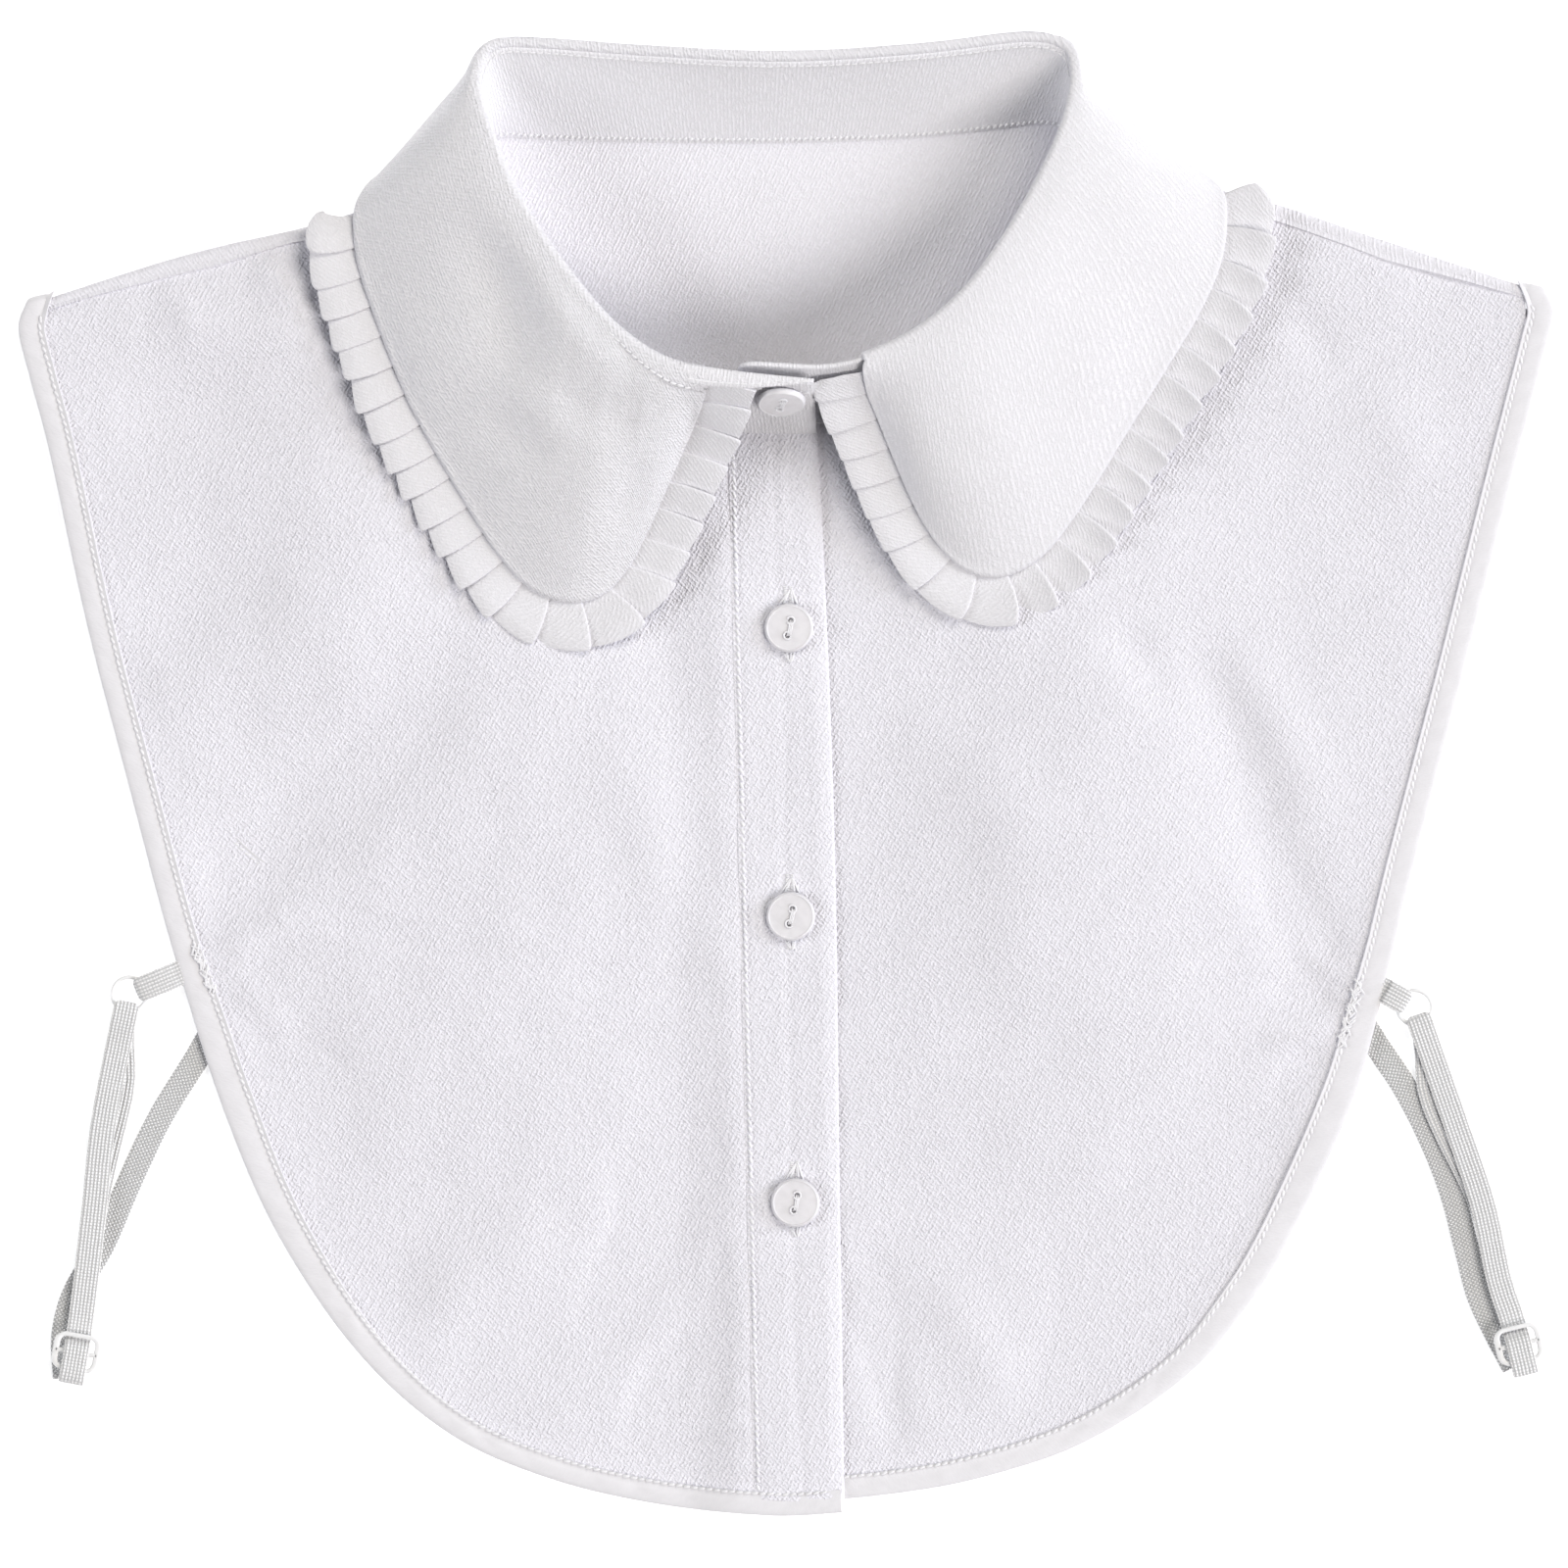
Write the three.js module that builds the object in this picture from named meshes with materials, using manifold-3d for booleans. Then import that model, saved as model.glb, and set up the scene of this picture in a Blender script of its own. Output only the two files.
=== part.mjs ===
// A detachable peter pan collar laid flat on a table: a buttoned bib front over a shorter back,
// a stand collar with a turned-over fall and a pleated frill, and adjustable elastic side straps.
// Millimetres. +X is to the right as one looks down on it, +Y is towards the back of the neck and
// +Z is up, with the table at z = 0. "Left" and "right" are as seen from above.
import * as THREE from "three";
import { mergeVertices } from "three/addons/utils/BufferGeometryUtils.js";
import Module from "manifold-3d";

const wasm = await Module();
wasm.setup();

// ---------------------------------------------------------------- driving sizes
const CLOTH = 1.0; // one layer of crepe
const STAND_CLOTH = 1.2; // the stiffened collar stand
const PLACKET_CLOTH = 1.4; // the placket's two layers
const BINDING_CLOTH = 1.6; // binding folded round a raw edge
const SEAM_GAP = 0.3; // pieces that are sewn together
const NECK_SETBACK = 1.1; // from the middle of the stand to the neck edges of the panels
const ARMHOLE_BINDING = 6.3; // width of the binding down the sides
const HEM_BINDING = 5.4; // width of the binding along the hem
const LAYER = 1.9; // from the underside of one layer to the next one up
const BACK_NECK_RISE = 3.9; // the back lies this high over the fall that is tucked beneath it
const PUFF = 3.5; // how far the fronts stand off the table in their middle
const FOLD_TO_SEAM = 3.2; // the shoulder seam lies this far in front of the shoulder fold
const SHOULDER_TURN = { centre: 1.45, reach: 0.95, leg: 5.2 }; // distances in from the fold
const PLACKET_LEAN = -0.0244; // sideways run of the placket, per mm of y
const PLACKET_LEFT = -12.0; // edges of the placket, where the lean is zero
const PLACKET_RIGHT = 10.0;
const UNDERLAP_EDGE = -9.0; // hidden edge of the right front, under the placket
const FALL_SETBACK = 1.35; // from the middle of the stand to the start of the fall
const LEAST_REACH = 1.6; // how far out the fall runs before it turns down, at the least
const FALL_PROUD = 3; // how far a sloping section of the fall bulges, at the most
const FRILL_WIDTH = 11;
const PLEAT_PITCH = 7.6;
const PLEAT_STEP = 1.0; // height of one knife pleat's fold
const PLEAT_TURN = 0.13; // share of a pleat taken by its fold
const BUTTON_RADIUS = 5.75;
const BUTTON_HOLES = { apart: 3.6, radius: 0.85 }; // the centres of the two holes, and their size
const BUTTON_LIFT = 0.5; // the thread's shank, between the cloth and the button
const ELASTIC_WIDTH = 5.9;
const ELASTIC = 0.9; // thickness of the elastic
const RING = { radius: 4, wire: 0.5, height: 2.4 }; // to the middle of the ring's wire
const LOOP = { radius: 1.45, width: 4.4, inside: 0.45, leg: 3 }; // the elastic's turn in a ring
const SLIDER = { width: 11.2, side: 1.5, bar: 1.1, slot: 2.9, under: 3.6, thick: 1.2, from: 3.2 };
const BACK_RUN = 0.45; // heights of the elastic's middle: on the table,
const RETURN_RUN = 1.65; // under its own front run,
const FRONT_RUN = 2.85; // on top,
const OVER_BARS = 5.3; // and over the slider's bars

// ---------------------------------------------------------------- tables
const table = (columns, rows) =>
  rows.map((row) => Object.fromEntries(columns.map((name, i) => [name, row[i]])));

// The collar stand, from its left end at the centre front round the back of the neck to the end
// of the right underlap: the neck seam at its foot, and the roll line along its top.
const stand = table(["seamX", "seamY", "seamZ", "rollX", "rollY", "rollZ"], [
  [7, 79.8, 6.0, 6.6, 91.5, 27.5],
  [-13, 80.2, 6.0, -13.5, 93.6, 28.2],
  [-29, 84, 6.4, -28, 96.5, 28.6],
  [-44, 92, 7.2, -39.5, 104, 28.6],
  [-57, 104, 8.2, -49, 114.5, 28.2],
  [-67, 118, 8.6, -57, 125.5, 27.4],
  [-73.5, 131, 8.2, -64, 137, 26.4],
  [-76.5, 140, 7, -68.5, 148, 25.6],
  [-72.5, 147, 5.2, -71.5, 156.8, 24],
  [-67, 149, 4.6, -71.8, 164.6, 22.4],
  [-60, 148.6, 4.5, -67.9, 169.9, 20.8],
  [-50, 148, 4.4, -57.6, 170.2, 20.2],
  [-28, 147.6, 4.4, -32, 168.4, 20],
  [0, 147.6, 4.4, 0, 167.1, 20],
  [28, 148.6, 4.4, 32, 169, 20],
  [50, 150.8, 4.4, 55.6, 171.7, 20.2],
  [58, 151.9, 4.5, 64.6, 170, 20.8],
  [64, 151.4, 4.6, 67, 164.4, 22.4],
  [69.5, 148, 5.2, 66, 155.8, 24],
  [73, 140.5, 7, 63, 147, 25.6],
  [70, 130, 8.2, 57, 135, 26.4],
  [63, 117, 8.6, 50, 123.5, 27.4],
  [53, 103.5, 8.2, 42, 113, 28.2],
  [40, 92, 7, 32, 104.4, 28.2],
  [26, 85, 5, 20.5, 98.5, 27.6],
  [10, 82.6, 4, 9, 95.6, 27],
  [-8, 82.7, 4, -8, 95.4, 26.6],
  [-11.5, 82.8, 4, -11.5, 94, 24],
]);
const LEFT_NECK_POINT = 7; // rows of the stand where the shoulders meet the neck
const RIGHT_NECK_POINT = 19;

// The fall, in the same order: where each section leaves the stand (a row of the table above,
// with a fraction), where its free edge lies, and the point its curve is drawn towards before it
// turns under. A section with no turn just slopes down to the front beneath it.
const fall = table(["along", "edgeX", "edgeY", "edgeZ", "turnX", "turnY", "turnZ"], [
  [1.35, -18.6, 91.2, 26.6],
  [1.5, -20.3, 85, 21],
  [1.7, -22.7, 79.3, 16.5],
  [2.0, -28.4, 66.4, 12],
  [2.3, -33.2, 55.8, 9.5],
  [2.6, -37.6, 47.4, 8],
  [2.85, -43.8, 41.3, 7],
  [3.1, -51.6, 40, 6.6],
  [3.5, -60.1, 43.2, 6.6],
  [3.95, -68.4, 52.2, 7],
  [4.5, -78.8, 69, 7.4],
  [5.1, -88.4, 86.4, 8],
  [5.7, -95.4, 103.7, 8.4],
  [6.3, -100.2, 117.9, 8.6],
  [6.9, -101.5, 127.4, 8.6],
  [7.5, -100.6, 134, 8],
  [8.0, -96, 138.6, 4.5, -93, 145, 9],
  [8.4, -86, 138.5, 1.4, -88, 155, 1],
  [9.0, -72, 136, 0.6, -77, 165, 0],
  [10, -58, 136.5, 0.6, -69.5, 171, 0],
  [11, -46, 137.5, 0.6, -55, 171, 0],
  [12, -25, 138.5, 0.6, -30, 169.5, 0],
  [13, 0, 139, 0.6, 0, 168.5, 0],
  [14, 25, 140, 0.6, 30, 170, 0],
  [15, 45, 140, 0.6, 54, 172.5, 0],
  [16, 55, 139, 0.6, 66.5, 171, 0],
  [17, 68, 138.5, 0.6, 73, 165, 0],
  [17.6, 83, 140, 1.4, 84, 155.5, 1],
  [18.0, 94, 140.8, 4.5, 92, 148, 9],
  [18.5, 102, 136.5, 8],
  [18.95, 103.2, 129.5, 8.6],
  [19.5, 101.8, 119.5, 8.6],
  [20.1, 96.7, 107.6, 8.4],
  [20.7, 88, 93, 8],
  [21.3, 78.1, 77, 7.4],
  [21.8, 69.5, 63, 7],
  [22.2, 60.4, 51.2, 6.8],
  [22.5, 51, 46, 6.6],
  [22.75, 43, 47, 7],
  [23.0, 36.5, 52.3, 8],
  [23.3, 31.2, 60.4, 9.6],
  [23.6, 26, 72, 12.5],
  [23.85, 21.7, 82.5, 17],
  [24.05, 19.3, 88, 21],
  [24.25, 17.8, 93.6, 26.2],
]);
const LEFT_FRILL = { from: 0.15, to: 15.3 }; // rows of the fall that each stretch of frill edges
const BACK_FRILL = { from: 17.2, to: 26.8 };
const RIGHT_FRILL = { from: 29.1, to: 43.7 };

// Finished outer edge of each front: down the armhole side from the shoulder and along the hem.
const leftOutline = table(["x", "y"], [
  [-178.6, 109.8], [-180.2, 104], [-177.4, 92.2], [-172.8, 74.7], [-164.1, 34.7],
  [-154.4, -2.6], [-144.1, -41.2], [-131.7, -80.1], [-118.8, -109.3], [-100.2, -136.4],
  [-79, -155.1], [-55.5, -165.6], [-29.8, -171.6], [-3.8, -174.2], [13, -173.5],
]);
const rightOutline = table(["x", "y"], [
  [178.4, 112.4], [180.1, 108], [178, 99], [169.6, 66.4], [159, 24.1],
  [147.3, -21.4], [139.7, -52.9], [132.1, -78.9], [116.7, -111.8], [105, -129.3],
  [95.6, -139.9], [81.5, -150.5], [65.2, -159.2], [46.3, -165.2], [31.6, -168.2],
  [13.9, -170.3], [-6, -171.2],
]);
// Finished outer edge of the shorter back, on one side; the other side is its mirror image.
const backOutline = table(["x", "y"], [
  [177.5, 108], [172.5, 88], [163, 50], [152, 14], [142, -8],
  [131, -22], [118, -30], [93, -37], [50, -46.5], [0, -51.5],
]);
const leftShoulderFold = table(["x", "y"], [
  [-171, 112.1], [-147.1, 119.8], [-131.7, 123.9], [-111.2, 128.5], [-92.6, 134.3], [-79.2, 138.6],
]);
const rightShoulderFold = table(["x", "y"], [
  [171, 114.8], [154.7, 120.2], [133.7, 127.1], [114.4, 133.6], [95, 138.2], [75.8, 142.2],
]);
const buttonSpots = table(["x", "y"], [[0.6, 34], [1, -33.6], [2.1, -100.8]]);
const BAND_BUTTON = { along: 0.45, up: 0.68 }; // on the stand's left end

// Each strap is one length of elastic: from the back's side, round the slider, up to the ring and
// down again behind itself. The front run's route goes from the slider's foot to the ring.
const straps = {
  left: {
    ring: { x: -154.2, y: -51.9 },
    stubFrom: { x: -142.9, y: -47.2 },
    front: table(["x", "y"], [
      [-168, -143.5], [-166.4, -134.6], [-164.3, -118.7], [-162.3, -101.5], [-160, -80.8], [-154.2, -51.9],
    ]),
    returnShift: 2.9,
    back: table(["x", "y"], [
      [-125.6, -31], [-137.2, -64.9], [-146.9, -80.8], [-154.4, -96.6], [-160.3, -110.4],
      [-167, -122], [-169.6, -132], [-169.2, -142],
    ]),
  },
  right: {
    ring: { x: 147.4, y: -55 },
    stubFrom: { x: 140.6, y: -51.2 },
    front: table(["x", "y"], [
      [173.6, -141.5], [170.5, -129.1], [167.1, -118.7], [163.4, -101.5], [157.4, -83.5], [147.4, -55],
    ]),
    returnShift: -3.4,
    back: table(["x", "y"], [
      [125.6, -31], [137.9, -62.8], [145.2, -73.9], [151.5, -86.3], [156.3, -98.7],
      [159.7, -111.8], [163.2, -124.3], [170.8, -139.4],
    ]),
  },
};

// ---------------------------------------------------------------- curves
const clamp = (value, low, high) => Math.max(low, Math.min(high, value));
const mix = (a, b, t) => a + (b - a) * t;
const vector = (p) => new THREE.Vector3(p.x, p.y, p.z ?? 0);

// 0 below low, 1 above high, and a smooth step between them.
const ramp = (low, high, value) => THREE.MathUtils.smoothstep(value, low, high);

// Every column of a table at a fractional row, on a smooth curve through the rows.
function rowAt(rows, t) {
  const i = clamp(Math.floor(t), 0, rows.length - 2);
  const f = t - i;
  const [a, b, c, d] = [i - 1, i, i + 1, i + 2].map((k) => rows[clamp(k, 0, rows.length - 1)]);
  const between = (p, q, r, s) =>
    q + 0.5 * f * (r - p + f * (2 * p - 5 * q + 4 * r - s + f * (3 * (q - r) + s - p)));
  const column = (key) => [key, between(a[key], b[key], c[key], d[key])];
  return Object.fromEntries(Object.keys(b).map(column));
}

// A smooth path through a table's rows, as points evenly spaced about `step` apart.
function pathThrough(rows, step, from = 0, to = rows.length - 1) {
  const samples = Math.ceil((to - from) * 12);
  return spaced(evenly(from, to, samples).map((t) => rowAt(rows, t)), step);
}

// From one number to another in equal parts.
function evenly(from, to, parts) {
  return Array.from({ length: parts + 1 }, (_, i) => mix(from, to, i / parts));
}

function polyline(points) {
  const curve = new THREE.CurvePath();
  for (let i = 1; i < points.length; i++) {
    curve.add(new THREE.LineCurve3(vector(points[i - 1]), vector(points[i])));
  }
  return curve;
}

function spaced(points, step) {
  const curve = polyline(points);
  const parts = Math.max(2, Math.round(curve.getLength() / step));
  return evenly(0, 1, parts).map((share) => curve.getPointAt(share));
}

// Unit vector in plan, to the left of the direction of travel along a path.
function leftOf(path, i) {
  const before = path[Math.max(0, i - 1)];
  const after = path[Math.min(path.length - 1, i + 1)];
  return new THREE.Vector3(before.y - after.y, after.x - before.x, 0).normalize();
}

// A path moved to its left by a distance, or by what a function gives at each point.
function moved(path, distance) {
  const by = typeof distance === "function" ? distance : () => distance;
  return path.map((p, i) => vector(p).addScaledVector(leftOf(path, i), by(p)));
}

// The point of a path that is nearest to (x, y) in plan, and how far off it is.
function nearest(path, x, y) {
  let best = { distance: Infinity, z: 0 };
  for (let i = 1; i < path.length; i++) {
    const [a, b] = [path[i - 1], path[i]];
    const [dx, dy] = [b.x - a.x, b.y - a.y];
    const t = clamp(((x - a.x) * dx + (y - a.y) * dy) / (dx * dx + dy * dy), 0, 1);
    const distance = Math.hypot(x - a.x - t * dx, y - a.y - t * dy);
    if (distance < best.distance) {
      best = { distance, z: mix(a.z, b.z, t) };
    }
  }
  return best;
}

const seamPoints = stand.map((row) => ({ x: row.seamX, y: row.seamY, z: row.seamZ }));
const rollPoints = stand.map((row) => ({ x: row.rollX, y: row.rollY, z: row.rollZ }));
const leftSeam = pathThrough(seamPoints, 5, 0, LEFT_NECK_POINT);
const backSeam = pathThrough(seamPoints, 5, LEFT_NECK_POINT, RIGHT_NECK_POINT);
const rightSeam = pathThrough(seamPoints, 5, RIGHT_NECK_POINT, stand.length - 2);

// ---------------------------------------------------------------- how high each layer lies
const lean = (y) => PLACKET_LEAN * y;

function backHeight(x, y) {
  return BACK_NECK_RISE * (1 - ramp(14, 46, nearest(backSeam, x, y).distance));
}

// One layer up where the back, or a strap on its way out, lies beneath the fronts; then the table.
function liftOverBack(x, y) {
  const hemEnd = -62 - 16 * ramp(105, 130, Math.abs(x));
  return LAYER * ramp(hemEnd - 16, hemEnd, y);
}

function puff(x, y) {
  const across = 1 - ((Math.abs(x) - 64) / 60) ** 2;
  const down = 1 - ((y + 20) / 115) ** 2;
  return across > 0 && down > 0 ? PUFF * (across * down) ** 1.5 : 0;
}

// How much of the placket's extra layer the left front has taken up by the time it gets there.
const besidePlacket = (x, y) => LAYER * ramp(PLACKET_LEFT - 16, PLACKET_LEFT - 2, x - lean(y));

function frontHeight(x, y) {
  const seam = nearest(x < 0 ? leftSeam : rightSeam, x, y);
  const atNeck = seam.z - CLOTH / 2 - (x < 0 ? besidePlacket(x, y) : 0);
  const resting = backHeight(x, y) + liftOverBack(x, y) + puff(x, y);
  return mix(atNeck, resting, ramp(0, 32, seam.distance));
}

const leftFrontHeight = (x, y) => frontHeight(x, y) + besidePlacket(x, y);
const placketHeight = (x, y) => frontHeight(x, y) + LAYER;

// ---------------------------------------------------------------- solids
// A closed solid through rings of points. A ring runs out along one face and back along the
// other, so that its first and last points, its second and last but one, and so on, make the ends.
function loft(rings) {
  const size = rings[0].length;
  const index = [];
  const quad = (a, b, c, d) => index.push(a, b, c, a, c, d);
  for (let i = 0; i + 1 < rings.length; i++) {
    for (let k = 0; k < size; k++) {
      const next = (k + 1) % size;
      quad(i * size + k, (i + 1) * size + k, (i + 1) * size + next, i * size + next);
    }
  }
  const last = (rings.length - 1) * size;
  for (let k = 0; k + 1 < size / 2; k++) {
    quad(k, k + 1, size - 2 - k, size - 1 - k);
    quad(last + k + 1, last + k, last + size - 1 - k, last + size - 2 - k);
  }
  const points = rings.flat();
  const geometry = new THREE.BufferGeometry().setFromPoints(points);
  return geometry.setIndex(signedVolume(points, index) < 0 ? index.reverse() : index);
}

function signedVolume(points, index) {
  let sum = 0;
  for (let i = 0; i < index.length; i += 3) {
    const [a, b, c] = [0, 1, 2].map((k) => points[index[i + k]]);
    sum += a.dot(new THREE.Vector3().crossVectors(b, c));
  }
  return sum;
}

// A wall whose middle runs through a grid of points, one row of the grid to a ring.
function wall(grid, thickness) {
  const half = (i, j) => (typeof thickness === "function" ? thickness(i, j) : thickness) / 2;
  const between = (p, q) => new THREE.Vector3().subVectors(q, p);
  const normal = (i, j) => {
    const row = grid[i];
    const along = between(grid[Math.max(i - 1, 0)][j], grid[Math.min(i + 1, grid.length - 1)][j]);
    const across = between(row[Math.max(j - 1, 0)], row[Math.min(j + 1, row.length - 1)]);
    return along.cross(across).normalize();
  };
  const side = (i, sign) =>
    grid[i].map((p, j) => p.clone().addScaledVector(normal(i, j), sign * half(i, j)));
  return loft(grid.map((_, i) => [...side(i, 1), ...side(i, -1).reverse()]));
}

// A cloth panel that fills the space between a lower and an upper edge, in columns that lean with
// the placket. Its underside follows `height`.
function panel({ lower, upper, from, to, height, rows, spacing, thickness = CLOTH, slope = lean }) {
  const flat = (path) =>
    path.map((p) => ({ x: p.x - slope(p.y), y: p.y })).sort((a, b) => a.x - b.x);
  const [low, high] = [flat(lower), flat(upper)];
  const yOn = (path, x) => {
    const i = clamp(path.findIndex((p) => p.x >= x), 1, path.length - 1);
    const [a, b] = [path[i - 1], path[i]];
    return mix(a.y, b.y, clamp((x - a.x) / (b.x - a.x), 0, 1));
  };
  const start = Math.max(low[0].x, high[0].x, from);
  const end = Math.min(low.at(-1).x, high.at(-1).x, to);
  const wanted = [...low, ...high].map((p) => p.x).sort((a, b) => a - b);
  const columns = [start];
  for (const x of wanted) {
    const clear = x > columns.at(-1) + spacing && x < end - spacing / 2;
    if (clear) columns.push(x);
  }
  columns.push(end);
  const rings = columns.map((column) => {
    const [bottom, top] = [yOn(low, column), yOn(high, column)];
    const under = evenly(bottom, top, rows).map((y) => {
      const x = column + slope(y);
      return new THREE.Vector3(x, y, height(x, y));
    });
    const above = under.map((p) => p.clone().setZ(p.z + thickness));
    return [...under, ...above.reverse()];
  });
  return loft(rings);
}

// Binding folded round an edge: a flat strip inside the finished outline, rounded at the outside.
function binding(outline, inward, height) {
  const inner = moved(outline, inward);
  const rings = outline.map((outer, i) => {
    const edge = new THREE.Vector3().subVectors(inner[i], outer);
    const point = (across, up) => {
      const p = vector(outer).addScaledVector(edge, across);
      return p.setZ(height(p.x, p.y) + up * BINDING_CLOTH);
    };
    return [point(1, 0), point(0.12, 0), point(0, 0.3), point(0, 0.7), point(0.12, 1), point(1, 1)];
  });
  return loft(rings);
}

// The binding is a little narrower along the hem than it is down the sides.
const bindingWidth = (p) => mix(HEM_BINDING, ARMHOLE_BINDING, ramp(-150, -100, p.y));

function toSolid(geometry) {
  const bare = new THREE.BufferGeometry();
  bare.setAttribute("position", geometry.getAttribute("position"));
  bare.setIndex(geometry.index);
  const merged = mergeVertices(bare, 1e-4);
  return new wasm.Manifold(
    new wasm.Mesh({
      numProp: 3,
      vertProperties: merged.attributes.position.array,
      triVerts: new Uint32Array(merged.index.array),
    }),
  );
}

function toGeometry(solid) {
  const mesh = solid.getMesh();
  const geometry = new THREE.BufferGeometry();
  const position = new THREE.BufferAttribute(new Float32Array(mesh.vertProperties), 3);
  geometry.setAttribute("position", position);
  geometry.setIndex(new THREE.BufferAttribute(new Uint32Array(mesh.triVerts), 1));
  return geometry;
}

const joined = (...pieces) => toGeometry(pieces.map(toSolid).reduce((a, b) => a.add(b)));

// ---------------------------------------------------------------- back and fronts
const leftEdge = pathThrough(leftOutline, 10);
const rightEdge = pathThrough(rightOutline, 10);
const backEdge = pathThrough(
  [...backOutline.map((p) => ({ x: -p.x, y: p.y })), ...backOutline.slice(0, -1).reverse()],
  14,
);
const leftFold = pathThrough(leftShoulderFold, 9);
const rightFold = pathThrough(rightShoulderFold, 9);

function leftNeckEdge() {
  const shoulder = moved(leftFold, -(FOLD_TO_SEAM + SEAM_GAP)).filter((p) => p.x < -80);
  const neck = moved(pathThrough(seamPoints, 6, 0.1, LEFT_NECK_POINT - 0.5), NECK_SETBACK);
  neck.reverse();
  return [...shoulder, ...neck];
}

function rightNeckEdge() {
  const shoulder = moved(rightFold, FOLD_TO_SEAM + SEAM_GAP).filter((p) => p.x > 76.5);
  const neck = moved(pathThrough(seamPoints, 6, RIGHT_NECK_POINT + 0.5, stand.length - 2), NECK_SETBACK);
  return [...shoulder, ...neck];
}

function makeBack() {
  const buried = 2.4; // how far inside the fold the flat part stops, within the turned shoulder
  const upper = [
    ...moved(leftFold, -buried),
    ...moved(backSeam, -NECK_SETBACK).slice(1, -1),
    ...moved(rightFold, buried).reverse(),
  ];
  const flat = panel({
    lower: moved(backEdge, (p) => bindingWidth(p) + SEAM_GAP),
    upper,
    from: -171,
    to: 171,
    height: backHeight,
    rows: 6,
    spacing: 10,
    slope: () => 0,
  });
  return joined(flat, turnedShoulder(leftFold, -1), turnedShoulder(rightFold, 1));
}

// The back runs over the shoulder fold and forward to the shoulder seam, as a U-turn.
function turnedShoulder(foldLine, inward) {
  const grid = foldLine.map((p, i) => {
    const side = leftOf(foldLine, i).multiplyScalar(inward);
    const low = backHeight(p.x, p.y) + CLOTH / 2;
    const high = frontHeight(p.x, p.y) + CLOTH / 2;
    const middle = (low + high) / 2;
    const radius = (high - low) / 2;
    const at = (distance, z) => vector(p).addScaledVector(side, distance).setZ(z);
    const turn = [-90, -45, 0, 45, 90].map((degrees) => {
      const angle = THREE.MathUtils.degToRad(degrees);
      const distance = SHOULDER_TURN.centre - SHOULDER_TURN.reach * Math.cos(angle);
      return at(distance, middle + radius * Math.sin(angle));
    });
    const legs = [at(SHOULDER_TURN.leg, low), at(SHOULDER_TURN.leg - 1.5, low)];
    return [...legs, ...turn, at(FOLD_TO_SEAM, high)];
  });
  return wall(grid, (_, j) => (j < 2 ? 0.7 * CLOTH : CLOTH)); // the leg is buried in the back
}

function makeLeftFront() {
  return panel({
    lower: moved(leftEdge, (p) => bindingWidth(p) + SEAM_GAP),
    upper: leftNeckEdge(),
    from: -173,
    to: PLACKET_LEFT - SEAM_GAP,
    height: leftFrontHeight,
    rows: 9,
    spacing: 5,
  });
}

function makeRightFront() {
  return panel({
    lower: moved(rightEdge, (p) => -bindingWidth(p) - SEAM_GAP),
    upper: rightNeckEdge(),
    from: UNDERLAP_EDGE,
    to: 173,
    height: frontHeight,
    rows: 9,
    spacing: 5,
  });
}

function makePlacket() {
  return panel({
    lower: moved(leftEdge, (p) => bindingWidth(p) + SEAM_GAP),
    upper: moved(pathThrough(seamPoints, 6, 0, 2), NECK_SETBACK),
    from: PLACKET_LEFT,
    to: PLACKET_RIGHT,
    height: placketHeight,
    rows: 20,
    spacing: 7,
    thickness: PLACKET_CLOTH,
  });
}

const makeBackBinding = () => binding(backEdge, bindingWidth, backHeight);
const makeLeftBinding = () => {
  const height = (x, y) => (x > -40 ? leftFrontHeight(x, y) : frontHeight(x, y));
  return binding(leftEdge, bindingWidth, height);
};
const makeRightBinding = () => binding(rightEdge, (p) => -bindingWidth(p), frontHeight);

// ---------------------------------------------------------------- collar
function standPoint(along, up) {
  const row = rowAt(stand, along);
  const foot = new THREE.Vector3(row.seamX, row.seamY, row.seamZ);
  const top = new THREE.Vector3(row.rollX, row.rollY, row.rollZ);
  return foot.lerp(top, up);
}

// The way out from the neck, in plan, at a place along the stand's top.
function standOutward(along) {
  const [before, after] = [rowAt(rollPoints, along - 0.1), rowAt(rollPoints, along + 0.1)];
  return new THREE.Vector3(before.y - after.y, after.x - before.x, 0).normalize();
}

function makeStand() {
  const steps = 56;
  const rows = 2;
  const grid = evenly(0, stand.length - 1, steps).map((along) =>
    evenly(0, 1, rows).map((up) => standPoint(along, up)),
  );
  return wall(grid, STAND_CLOTH);
}

// The turn of a section that only slopes: two fifths of the way up from the edge, a little proud.
function slopingTurn(row) {
  const top = standPoint(row.along, 1);
  const rise = top.y - row.edgeY;
  return {
    turnX: mix(row.edgeX, top.x, 0.4),
    turnY: mix(row.edgeY, top.y, 0.4),
    turnZ: mix(row.edgeZ, top.z, 0.4) + FALL_PROUD * ramp(0, 14, rise),
  };
}

const fallRows = fall.map((row) => (row.turnX === undefined ? { ...row, ...slopingTurn(row) } : row));

// One section of the fall, from the stand's top (0) to its free edge (1).
function fallPoint(section, t) {
  const row = rowAt(fallRows, section);
  const top = standPoint(row.along, 1);
  const edge = new THREE.Vector3(row.edgeX, row.edgeY, row.edgeZ);
  const turn = new THREE.Vector3(row.turnX, row.turnY, row.turnZ);
  top.addScaledVector(standOutward(row.along), FALL_SETBACK);
  const out = new THREE.Vector3(turn.x - top.x, turn.y - top.y, 0);
  const reach = Math.max(out.length() / 3, LEAST_REACH);
  const over = top.clone().addScaledVector(out.normalize(), reach);
  return new THREE.CubicBezierCurve3(top, over, turn, edge).getPoint(t);
}

function makeFall() {
  const steps = 80;
  const rows = 5;
  const grid = evenly(0, fall.length - 1, steps).map((section) =>
    evenly(0, 1, rows).map((t) => fallPoint(section, t)),
  );
  return wall(grid, CLOTH);
}

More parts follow.
